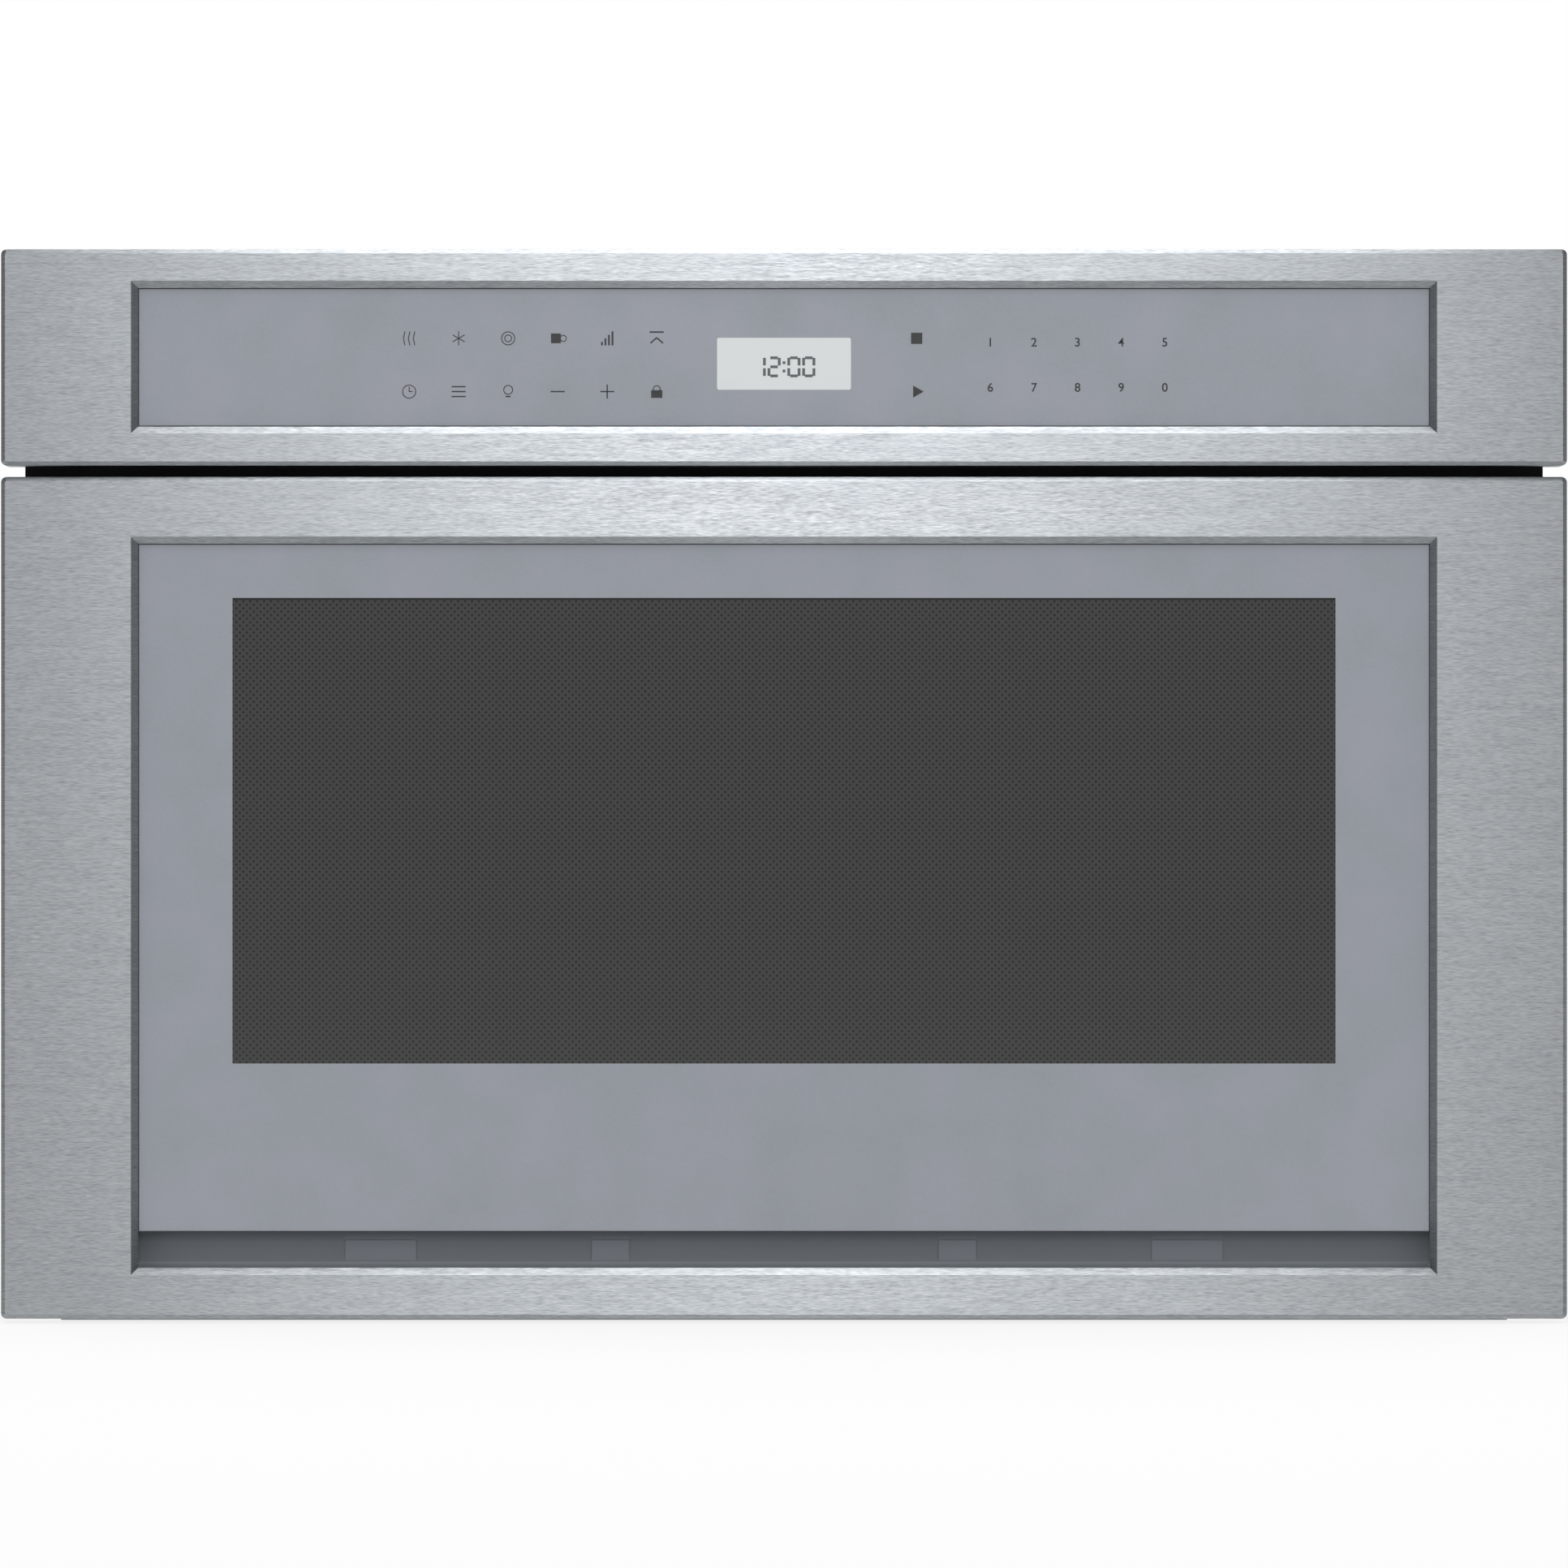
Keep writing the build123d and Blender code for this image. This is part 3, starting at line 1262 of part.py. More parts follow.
def gear_section(module, teeth, phase, flank_steps):
    """A toothed disc in the open sketch, centred where the open location is."""
    RegularPolygon(module * teeth / 2 - dedendum / tooth_module * module, teeth, rotation=phase)
    with PolarLocations(0, teeth, start_angle=phase):
        Polygon(*tooth(module, teeth, flank_steps), align=None)


# Slide brackets: steel angles screwed to the inner panel and to the inner slide members.
bracket_length = rack_start_y + rack_length - choke_y
bracket_foot = 34.0
bracket_low_z = rack_line_z + dedendum
bracket_high_z = slide_rise + slide_height / 2

with BuildPart() as slide_brackets:
    with BuildSketch(Plane.XY.offset(bracket_low_z)):
        for sign in (-1, 1):
            with Locations((sign * (bracket_x + bracket_sheet / 2), choke_y + bracket_length / 2)):
                Rectangle(bracket_sheet, bracket_length)
            with Locations((sign * (inner_web_x - bracket_foot / 2), choke_y + bracket_sheet / 2)):
                Rectangle(bracket_foot, bracket_sheet)
    extrude(amount=bracket_high_z - bracket_low_z)
slide_brackets.part.label = "slide_brackets"
export_step(slide_brackets.part, "parts/slide_brackets.step")

# Racks: one along each bracket, teeth downwards, with a gap over the pinion when the drawer is shut.
rack_half_tip = (rack_pitch / 2 - backlash) / 2 - addendum * tan(pressure_angle)
rack_half_root = (rack_pitch / 2 - backlash) / 2 + dedendum * tan(pressure_angle)

with BuildPart() as racks:
    for sign in (-1, 1):
        with BuildSketch(Plane.YZ.offset(sign * rack_x)):
            area(rack_start_y, rack_start_y + rack_length, bracket_low_z, rack_line_z + rack_back_height)
            for index in range(rack_teeth):
                with Locations((rack_start_y + rack_pitch / 2 + index * rack_pitch, rack_line_z)):
                    Polygon(
                        (-rack_half_root, dedendum),
                        (-rack_half_tip, -addendum),
                        (rack_half_tip, -addendum),
                        (rack_half_root, dedendum),
                        align=None,
                    )
        extrude(amount=sign * rack_width)
racks.part.label = "racks"
export_step(racks.part, "parts/racks.step")

# Cross shaft: steel shaft from side to side under the drawer.
pinion_margin = 2.0
pinion_width = rack_width - pinion_margin
pinion_x = rack_x + rack_width - pinion_width - part_gap
shaft_length = 2 * (pinion_x + pinion_width)

with BuildPart() as cross_shaft:
    with BuildSketch(Plane.YZ.offset(-shaft_length / 2)):
        with Locations((shaft_y, shaft_z)):
            Circle(shaft_diameter / 2)
    extrude(amount=shaft_length)
    chamfer(cross_shaft.edges().filter_by(GeomType.CIRCLE), shaft_diameter / 12)
cross_shaft.part.label = "cross_shaft"
export_step(cross_shaft.part, "parts/cross_shaft.step")

# Pinions: one pressed on each end of the shaft, a tooth up into the rack's gap.
hub_extra = 6.0
hub_wall = 4.0

with BuildPart() as pinions:
    for sign in (-1, 1):
        with BuildSketch(Plane.YZ.offset(sign * pinion_x)):
            with Locations((shaft_y, shaft_z)):
                gear_section(tooth_module, pinion_teeth, 90, rack_flank_steps)
        extrude(amount=sign * pinion_width)
        with BuildSketch(Plane.YZ.offset(sign * pinion_x)):
            with Locations((shaft_y, shaft_z)):
                RegularPolygon(shaft_diameter / 2 + hub_wall, hidden_sides)
        extrude(amount=-sign * hub_extra)
        with BuildSketch(Plane.YZ.offset(sign * (pinion_x - hub_extra))):
            with Locations((shaft_y, shaft_z)):
                Circle(shaft_diameter / 2)
        extrude(amount=sign * (hub_extra + pinion_width), mode=Mode.SUBTRACT)
pinions.part.label = "pinions"
export_step(pinions.part, "parts/pinions.step")

# Shaft gear: pressed on the shaft, driven by the motor pinion behind it.
drive_gear_x = 60.0
drive_gear_width = 9.0
drive_distance = drive_module * (shaft_gear_teeth + motor_pinion_teeth) / 2
motor_shaft_diameter = 8.0
motor_y = shaft_y + drive_distance

with BuildPart() as shaft_gear:
    with BuildSketch(Plane.YZ.offset(drive_gear_x)):
        with Locations((shaft_y, shaft_z)):
            gear_section(drive_module, shaft_gear_teeth, 0, drive_flank_steps)
            Circle(shaft_diameter / 2, mode=Mode.SUBTRACT)
    extrude(amount=drive_gear_width)
shaft_gear.part.label = "shaft_gear"
export_step(shaft_gear.part, "parts/shaft_gear.step")

# Motor pinion with its output shaft, a gap between teeth towards the shaft gear.
motor_shaft_length = 16.0
half_tooth_turn = 180 / motor_pinion_teeth
gearbox_gap = 4.0
gearbox_x = drive_gear_x + drive_gear_width + gearbox_gap

with BuildPart() as motor_pinion:
    with BuildSketch(Plane.YZ.offset(drive_gear_x)):
        with Locations((motor_y, shaft_z)):
            gear_section(drive_module, motor_pinion_teeth, half_tooth_turn, drive_flank_steps)
    extrude(amount=drive_gear_width)
    with BuildSketch(Plane.YZ.offset(drive_gear_x)):
        with Locations((motor_y, shaft_z)):
            Circle(motor_shaft_diameter / 2)
    extrude(amount=gearbox_x - drive_gear_x + motor_shaft_length)
motor_pinion.part.label = "motor_pinion"
export_step(motor_pinion.part, "parts/motor_pinion.step")

# Drive motor: gearbox with a motor can behind it, on a foot bracket.
gearbox_size = 52.0
gearbox_length = 34.0
motor_can_diameter = 38.0
motor_can_length = 62.0
motor_foot_width = 14.0

with BuildPart() as drive_motor:
    with BuildSketch(Plane.YZ.offset(gearbox_x)):
        with Locations((motor_y, shaft_z)):
            Rectangle(gearbox_size, gearbox_size)
    extrude(amount=gearbox_length)
    with BuildSketch(Plane.YZ.offset(gearbox_x + gearbox_length)):
        with Locations((motor_y, shaft_z)):
            RegularPolygon(motor_can_diameter / 2, hidden_sides)
    extrude(amount=motor_can_length)
    with BuildSketch(Plane.YZ.offset(gearbox_x + motor_foot_width)):
        area(motor_y - gearbox_size / 2, motor_y + gearbox_size / 2, base_sheet, shaft_z)
    extrude(amount=bracket_sheet)
    with BuildSketch(Plane.XY.offset(base_sheet)):
        area(
            gearbox_x + motor_foot_width,
            gearbox_x + 3 * motor_foot_width,
            motor_y - gearbox_size / 2,
            motor_y + gearbox_size / 2,
        )
    extrude(amount=bracket_sheet)
    with BuildSketch(Plane.YZ.offset(gearbox_x)):
        with Locations((motor_y, shaft_z)):
            Circle(motor_shaft_diameter / 2 + running_clearance)
    extrude(amount=motor_shaft_length + part_gap, mode=Mode.SUBTRACT)
drive_motor.part.label = "drive_motor"
export_step(drive_motor.part, "parts/drive_motor.step")

# Shaft brackets: steel angles on the base pan that carry the cross shaft in plastic bushes.
bearing_gap = 24.9
shaft_bracket_x = pinion_x - hub_extra - bearing_gap
shaft_bracket_width = 46.0
shaft_bracket_foot = 22.0
bush_diameter = 16.0
bush_flange_diameter = 20.0
bush_flange = 2.0
bracket_rim = 6.0

with BuildPart() as shaft_brackets:
    for sign in (-1, 1):
        with BuildSketch(Plane.YZ.offset(sign * shaft_bracket_x)):
            area(
                shaft_y - shaft_bracket_width / 2,
                shaft_y + shaft_bracket_width / 2,
                base_sheet,
                shaft_z + bush_flange_diameter / 2 + bracket_rim,
            )
            with Locations((shaft_y, shaft_z)):
                RegularPolygon(bush_diameter / 2, hidden_sides, mode=Mode.SUBTRACT)
        extrude(amount=sign * bracket_sheet)
        with BuildSketch(Plane.XY.offset(base_sheet)):
            with Locations((sign * (shaft_bracket_x - shaft_bracket_foot / 2), shaft_y)):
                Rectangle(shaft_bracket_foot, shaft_bracket_width)
        extrude(amount=bracket_sheet)
shaft_brackets.part.label = "shaft_brackets"
export_step(shaft_brackets.part, "parts/shaft_brackets.step")

with BuildPart() as shaft_bushes:
    for sign in (-1, 1):
        with BuildSketch(Plane.YZ.offset(sign * shaft_bracket_x)):
            with Locations((shaft_y, shaft_z)):
                RegularPolygon(bush_diameter / 2, hidden_sides)
                Circle(shaft_diameter / 2 + running_clearance, mode=Mode.SUBTRACT)
        extrude(amount=sign * bracket_sheet)
        with BuildSketch(Plane.YZ.offset(sign * shaft_bracket_x)):
            with Locations((shaft_y, shaft_z)):
                RegularPolygon(bush_flange_diameter / 2, hidden_sides)
                Circle(shaft_diameter / 2 + running_clearance, mode=Mode.SUBTRACT)
        extrude(amount=-sign * bush_flange)
shaft_bushes.part.label = "shaft_bushes"
export_step(shaft_bushes.part, "parts/shaft_bushes.step")

# ================================================================ door interlock
# Interlock brackets: U-shaped carriers behind the face plate, one over each hook, holding the switches.
interlock_width = 30.0
interlock_height = 44.0
interlock_sheet = 1.5
hook_end_y = choke_y + hook_reach
switch_length = 20.0
switch_height = 8.4
switch_width = 9.0
stacked_gap = 0.4
stacked_plunger_shift = 3.2
plunger_side = 2.6
plunger_out = 3.0
plunger_stroke = 1.5
plunger_inside = 4.0
switch_y = hook_end_y + part_gap + plunger_out
interlock_depth = switch_y + switch_length + interlock_sheet - body_y

with BuildPart() as interlock_brackets:
    for sign in (-1, 1):
        with BuildSketch(Plane.XY.offset(hook_z + hook_slot_height / 2)):
            with Locations((sign * hook_x, body_y + interlock_depth / 2)):
                Rectangle(interlock_width, interlock_depth)
        extrude(amount=interlock_sheet)
        with BuildSketch(Plane.XY.offset(hook_z - hook_slot_height / 2)):
            with Locations((sign * hook_x, body_y + interlock_depth / 2)):
                Rectangle(interlock_width, interlock_depth)
        extrude(amount=-interlock_sheet)
        with BuildSketch(facing_front(body_y)):
            with Locations((sign * hook_x, hook_z + hook_slot_height / 2 + interlock_sheet)):
                Rectangle(interlock_width, interlock_height / 2, align=(Align.CENTER, Align.MIN))
            with Locations((sign * hook_x, hook_z - hook_slot_height / 2 - interlock_sheet)):
                Rectangle(interlock_width, interlock_height / 4, align=(Align.CENTER, Align.MAX))
        extrude(amount=-interlock_sheet)
        with BuildSketch(facing_front(body_y + interlock_depth - interlock_sheet)):
            with Locations((sign * hook_x, hook_z)):
                Rectangle(interlock_width, hook_slot_height)
        extrude(amount=-interlock_sheet)
interlock_brackets.part.label = "interlock_brackets"
export_step(interlock_brackets.part, "parts/interlock_brackets.step")

# Snap switches behind the hooks: one on the left, two stacked on the right, each with a square plunger bore.
stacked_z = (switch_height + stacked_gap) / 2
switch_seats = (
    ("left_plunger", -hook_x, hook_z, hook_z),
    ("right_upper_plunger", hook_x, hook_z + stacked_z, hook_z + stacked_plunger_shift),
    ("right_lower_plunger", hook_x, hook_z - stacked_z, hook_z - stacked_plunger_shift),
)

with BuildPart() as interlock_switches:
    for name, seat_x, seat_z, plunger_z in switch_seats:
        with BuildSketch(facing_front(switch_y)):
            with Locations((seat_x, seat_z)):
                Rectangle(switch_width, switch_height)
            with Locations((seat_x, plunger_z)):
                Rectangle(
                    plunger_side + 2 * running_clearance,
                    plunger_side + 2 * running_clearance,
                    mode=Mode.SUBTRACT,
                )
        extrude(amount=-(plunger_inside + plunger_stroke + part_gap))
        with BuildSketch(facing_front(switch_y + plunger_inside + plunger_stroke + part_gap)):
            with Locations((seat_x, seat_z)):
                Rectangle(switch_width, switch_height)
        extrude(amount=-(switch_length - plunger_inside - plunger_stroke - part_gap))
interlock_switches.part.label = "interlock_switches"
export_step(interlock_switches.part, "parts/interlock_switches.step")

# Plungers, drawn released, with their tips just short of the hooks.
for name, seat_x, seat_z, plunger_z in switch_seats:
    with BuildPart() as plunger:
        with BuildSketch(facing_front(switch_y - plunger_out)):
            with Locations((seat_x, plunger_z)):
                Rectangle(plunger_side, plunger_side)
        extrude(amount=-(plunger_out + plunger_inside))
    plunger.part.label = name
    export_step(plunger.part, f"parts/{name}.step")

# Cavity support: a folded stand between the base pan and the back of the cavity floor.
support_width = 260.0
support_depth = 40.0
support_foot = 20.0
support_setback = 60.0
support_y = cavity_back_y - support_setback
support_sheet = 1.5
support_height = cavity_rise - cavity_sheet - base_sheet

with BuildPart() as cavity_support:
    with BuildSketch(facing_front(support_y - support_depth / 2)):
        with Locations((0, base_sheet + support_height / 2)):
            Rectangle(support_width, support_height)
            with Locations((0, -support_sheet)):
                Rectangle(support_width - 2 * support_sheet, support_height, mode=Mode.SUBTRACT)
        for sign in (-1, 1):
            with Locations((sign * (support_width + support_foot) / 2, base_sheet + support_sheet / 2)):
                Rectangle(support_foot, support_sheet)
    extrude(amount=-support_depth)
cavity_support.part.label = "cavity_support"
export_step(cavity_support.part, "parts/cavity_support.step")
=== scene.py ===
import math

import bmesh
import bpy
from mathutils import Matrix, Vector


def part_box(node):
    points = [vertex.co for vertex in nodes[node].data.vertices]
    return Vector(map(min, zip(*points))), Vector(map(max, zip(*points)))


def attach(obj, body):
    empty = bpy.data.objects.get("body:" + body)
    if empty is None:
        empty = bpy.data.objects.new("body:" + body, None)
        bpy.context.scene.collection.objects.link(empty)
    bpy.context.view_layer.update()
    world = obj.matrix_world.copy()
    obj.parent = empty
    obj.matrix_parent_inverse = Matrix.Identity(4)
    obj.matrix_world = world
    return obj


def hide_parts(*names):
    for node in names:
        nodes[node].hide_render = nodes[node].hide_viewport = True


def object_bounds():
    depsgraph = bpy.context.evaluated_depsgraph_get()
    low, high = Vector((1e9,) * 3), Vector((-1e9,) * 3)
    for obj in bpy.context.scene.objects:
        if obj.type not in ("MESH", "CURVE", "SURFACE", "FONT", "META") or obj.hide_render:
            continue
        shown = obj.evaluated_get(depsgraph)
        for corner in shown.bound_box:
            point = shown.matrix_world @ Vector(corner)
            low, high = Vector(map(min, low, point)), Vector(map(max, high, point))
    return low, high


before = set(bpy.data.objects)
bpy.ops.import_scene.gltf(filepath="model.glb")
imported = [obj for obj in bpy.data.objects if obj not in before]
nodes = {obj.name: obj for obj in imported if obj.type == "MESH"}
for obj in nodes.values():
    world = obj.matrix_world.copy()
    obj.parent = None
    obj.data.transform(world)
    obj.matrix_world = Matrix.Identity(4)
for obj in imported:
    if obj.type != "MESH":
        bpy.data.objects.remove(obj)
cad_low, cad_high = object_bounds()

# ================================================================ casing
# Galvanised sheet folded into a base pan, two slotted sides, a beaded top and a louvred back. The zinc
# dries in flat crystals, a few millimetres across, that catch the light a little differently.


def paint(red, green, blue):
    """A screen colour, 0 to 255, as the linear colour that a shader takes."""
    def linear(level):
        share = level / 255
        return share / 12.92 if share <= 0.04045 else ((share + 0.055) / 1.055) ** 2.4
    return (linear(red), linear(green), linear(blue), 1.0)


def add(tree, kind, inputs=None, **settings):
    """One shader node. Each input is a plain value, or the output socket that feeds it."""
    made = tree.nodes.new("ShaderNode" + kind)
    for name, value in settings.items():
        setattr(made, name, value)
    for name, value in (inputs or {}).items():
        if isinstance(value, bpy.types.NodeSocket):
            tree.links.new(value, made.inputs[name])
        else:
            made.inputs[name].default_value = value
    return made


def new_effect(name, inputs):
    """An empty node group with float inputs that puts out Shade, from 0 to 1, and Height."""
    tree = bpy.data.node_groups.new(name, "ShaderNodeTree")
    for label, value in inputs.items():
        socket = tree.interface.new_socket(name=label, in_out="INPUT", socket_type="NodeSocketFloat")
        socket.default_value = value
    for label in ("Shade", "Height"):
        tree.interface.new_socket(name=label, in_out="OUTPUT", socket_type="NodeSocketFloat")
    return tree, tree.nodes.new("NodeGroupInput").outputs, tree.nodes.new("NodeGroupOutput").inputs


def textured(name, effect, scales, colours, roughness, relief, **plain):
    """A material whose colour, roughness and relief follow one effect. The rest are plain numbers."""
    made = bpy.data.materials.new(name)
    made.use_nodes = True
    tree = made.node_tree
    shader = tree.nodes["Principled BSDF"]
    for label, value in plain.items():
        shader.inputs[label.replace("_", " ")].default_value = value
    source = add(tree, "Group", node_tree=effect)
    for label, value in scales.items():
        source.inputs[label].default_value = value
    shade = source.outputs["Shade"]
    blend = add(tree, "Mix", {"Factor": shade, 6: colours[0], 7: colours[1]}, data_type="RGBA")
    rough = add(tree, "MapRange", {"Value": shade, "To Min": roughness[0], "To Max": roughness[1]})
    bump = add(tree, "Bump", {"Height": source.outputs["Height"], "Distance": relief})
    tree.links.new(blend.outputs[2], shader.inputs["Base Color"])
    tree.links.new(rough.outputs["Result"], shader.inputs["Roughness"])
    tree.links.new(bump.outputs["Normal"], shader.inputs["Normal"])
    return made


def dress(finish, *names):
    """Gives CAD nodes their finish."""
    for name in names:
        nodes[name].data.materials.clear()
        nodes[name].data.materials.append(finish)


def build(name, bm, finish):
    """Turns a bmesh into an object of the scene, in one finish."""
    mesh = bpy.data.meshes.new(name)
    bm.to_mesh(mesh)
    bm.free()
    mesh.materials.append(finish)
    made = bpy.data.objects.new(name, mesh)
    bpy.context.scene.collection.objects.link(made)
    return made


def new_piece(name, bm, finish, body):
    """Turns a bmesh into a piece that rides on a CAD body."""
    made = build(name, bm, finish)
    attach(made, body)
    return made


spangle, given, out = new_effect("zinc_spangle", {"Crystals per metre": 180.0})
place = add(spangle, "TexCoord").outputs["Object"]
crystals = add(spangle, "TexVoronoi", {"Vector": place, "Scale": given["Crystals per metre"]})
smudges = add(spangle, "TexNoise", {"Vector": place, "Scale": 22.0, "Detail": 3.0})
tone = add(spangle, "SeparateColor", {"Color": crystals.outputs["Color"]})
mixed = add(spangle, "Mix", {"Factor": 0.45, "A": tone.outputs["Red"], "B": smudges.outputs["Fac"]})
spangle.links.new(mixed.outputs["Result"], out["Shade"])
spangle.links.new(crystals.outputs["Distance"], out["Height"])

galvanised = textured(
    "galvanised_sheet", spangle, {"Crystals per metre": 180.0},
    (paint(168, 172, 174), paint(196, 199, 200)), (0.34, 0.5), 0.00002, Metallic=0.75,
)
dress(galvanised, "base_pan", "left_side_panel", "right_side_panel", "top_cover", "rear_panel")

# Casing screws: blackened pan heads with a sunk recess, along the flanges of the back and the sides.
screw_head = 0.0045
screw_rise = 0.0022
crown_radius = screw_head * 0.72
recess_share = 0.55
recess_depth_share = 0.6
flange_inset = 0.009
back_seat = 0.001
back_shares = (0.05, 0.35, 0.65, 0.94)
side_shares = (0.06, 0.5, 0.94)
top_shares = (0.2, 0.5, 0.8)


def add_screw(bm, point, outwards):
    """A pan head whose top looks along the unit vector outwards, with a sunk recess."""
    turn = outwards.to_track_quat("Z", "Y").to_matrix().to_4x4()
    stand = Matrix.Translation(point + outwards * screw_rise / 2) @ turn
    head = bmesh.ops.create_cone(
        bm, cap_ends=True, segments=12, radius1=screw_head, radius2=crown_radius,
        depth=screw_rise, matrix=stand,
    )
    faces = {face for corner in head["verts"] for face in corner.link_faces}
    top = max(faces, key=lambda face: face.calc_center_median() @ outwards)
    bmesh.ops.inset_region(bm, faces=[top], thickness=crown_radius * recess_share)
    bmesh.ops.translate(bm, verts=top.verts, vec=-outwards * screw_rise * recess_depth_share)


grain_free, given, out = new_effect("plated_metal", {"Spots per metre": 900.0})
place = add(grain_free, "TexCoord").outputs["Object"]
spots = add(grain_free, "TexNoise", {"Vector": place, "Scale": given["Spots per metre"], "Detail": 2.0})
wide = add(grain_free, "TexNoise", {"Vector": place, "Scale": 35.0, "Detail": 2.0})
mixed = add(grain_free, "Mix", {"Factor": 0.6, "A": spots.outputs["Fac"], "B": wide.outputs["Fac"]})
grain_free.links.new(mixed.outputs["Result"], out["Shade"])
grain_free.links.new(spots.outputs["Fac"], out["Height"])

zinc = textured(
    "zinc_plate", grain_free, {"Spots per metre": 1400.0},
    (paint(158, 160, 158), paint(200, 201, 197)), (0.24, 0.4), 0.00001, Metallic=0.9,
)
black_oxide = textured(
    "black_oxide_screws", grain_free, {"Spots per metre": 2200.0},
    (paint(42, 42, 44), paint(66, 66, 68)), (0.32, 0.48), 0.00001, Metallic=0.6,
)
back_low, back_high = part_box("rear_panel")
side_low, side_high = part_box("right_side_panel")
bm = bmesh.new()
for side in (-1, 1):
    for share in back_shares:
        spot = Vector((side * (back_high.x - flange_inset), back_low.y + back_seat, share * back_high.z))
        add_screw(bm, spot, Vector((0, 1, 0)))
    for share in side_shares:
        along = side_low.y + share * (side_high.y - side_low.y)
        spot = Vector((side * side_high.x, along, side_high.z - flange_inset))
        add_screw(bm, spot, Vector((side, 0, 0)))
for share in top_shares:
    along = back_low.x + share * (back_high.x - back_low.x)
    spot = Vector((along, back_low.y + back_seat, back_high.z - flange_inset))
    add_screw(bm, spot, Vector((0, 1, 0)))
new_piece("casing_screws", bm, black_oxide, "chassis")

# ================================================================ oven cavity
# The face plate is black powder coat over steel. The cavity and its choke are plain stainless sheet with a
# fine mill grain, and the stirrer cover is a pale plastic plate under the roof.
coated, given, out = new_effect("moulded_skin", {"Grain per metre": 2500.0})
place = add(coated, "TexCoord").outputs["Object"]
fine = add(coated, "TexNoise", {"Vector": place, "Scale": given["Grain per metre"], "Detail": 1.0})
cloud = add(coated, "TexNoise", {"Vector": place, "Scale": 30.0, "Detail": 3.0})
mixed = add(coated, "Mix", {"Factor": 0.7, "A": fine.outputs["Fac"], "B": cloud.outputs["Fac"]})
coated.links.new(mixed.outputs["Result"], out["Shade"])
coated.links.new(fine.outputs["Fac"], out["Height"])

black_coat = textured(
    "black_powder_coat", coated, {"Grain per metre": 1500.0},
    (paint(14, 14, 15), paint(22, 22, 23)), (0.5, 0.62), 0.00003,
)
dress(black_coat, "face_plate", "inner_panel")

brushed, given, out = new_effect("brushed_grain", {"Along": 200.0, "Across": 2400.0})
place = add(brushed, "TexCoord").outputs["Object"]
stretch = add(brushed, "CombineXYZ", {"X": given["Along"], "Y": given["Along"], "Z": given["Across"]})
hairs = add(brushed, "VectorMath", {0: place, 1: stretch.outputs["Vector"]}, operation="MULTIPLY")
short = add(brushed, "TexNoise", {"Vector": hairs.outputs["Vector"], "Scale": 1.0, "Detail": 2.0})
slow = add(brushed, "VectorMath", {0: hairs.outputs["Vector"], 1: (0.25, 0.25, 0.3)}, operation="MULTIPLY")
long = add(brushed, "TexNoise", {"Vector": slow.outputs["Vector"], "Scale": 1.0, "Detail": 1.0})
mixed = add(brushed, "Mix", {"Factor": 0.22, "A": short.outputs["Fac"], "B": long.outputs["Fac"]})
spread = add(brushed, "MapRange", {"Value": mixed.outputs["Result"], "From Min": 0.3, "From Max": 0.7})
brushed.links.new(spread.outputs["Result"], out["Shade"])
brushed.links.new(spread.outputs["Result"], out["Height"])

oven_sheet = textured(
    "oven_sheet", brushed, {"Along": 90.0, "Across": 1800.0},
    (paint(178, 180, 180), paint(196, 198, 198)), (0.3, 0.42), 0.000006, Metallic=0.5,
)
dress(oven_sheet, "oven_cavity", "drawer_tub", "choke_frame", "stirrer")

cover_plate = textured(
    "stirrer_cover_plate", coated, {"Grain per metre": 900.0},
    (paint(196, 190, 176), paint(214, 209, 196)), (0.5, 0.6), 0.00003,
)
dress(cover_plate, "stirrer_cover")

# ================================================================ power parts and cooling
# Galvanised waveguide and brackets, an aluminium finned magnetron, a varnished transformer core and
# motors, black moulded fan parts and green circuit boards.
dress(galvanised, "waveguide", "stirrer_housing", "cavity_support", "oven_lamp", "air_duct", "shaft_brackets")
dress(galvanised, "interlock_brackets", "slide_brackets")

fin_metal = textured(
    "fin_aluminium", grain_free, {"Spots per metre": 1800.0},
    (paint(186, 188, 190), paint(214, 216, 217)), (0.3, 0.42), 0.00001, Metallic=1.0,
)
dress(fin_metal, "magnetron")

core_varnish = textured(
    "varnished_core", brushed, {"Along": 20.0, "Across": 1600.0},
    (paint(44, 40, 38), paint(74, 68, 64)), (0.38, 0.55), 0.00006, Metallic=0.4,
)
dress(core_varnish, "transformer", "drive_motor", "fan_motor")

board_mask = textured(
    "board_green", coated, {"Grain per metre": 700.0},
    (paint(22, 74, 40), paint(34, 96, 54)), (0.3, 0.45), 0.00002,
)
dress(board_mask, "filter_board", "control_board")

black_moulding = textured(
    "black_moulding", coated, {"Grain per metre": 2600.0},
    (paint(28, 28, 30), paint(40, 40, 42)), (0.42, 0.55), 0.00002,
)
dress(black_moulding, "cord_bushing", "choke_cover", "interlock_hooks", "interlock_switches")
dress(black_moulding, "fan_frame", "fan_impeller", "stirrer_motor")
dress(zinc, "capacitor")

# ================================================================ drive and slides
# Natural acetal racks and gears on a ground steel shaft, and telescopic slides of zinc plated rail with
# rows of hard steel balls held in their cages.
acetal = textured(
    "natural_acetal", coated, {"Grain per metre": 1800.0},
    (paint(222, 220, 212), paint(236, 235, 229)), (0.32, 0.42), 0.00001,
)
dress(acetal, "racks", "pinions", "shaft_gear", "motor_pinion", "shaft_bushes")
dress(acetal, "left_plunger", "right_upper_plunger", "right_lower_plunger")

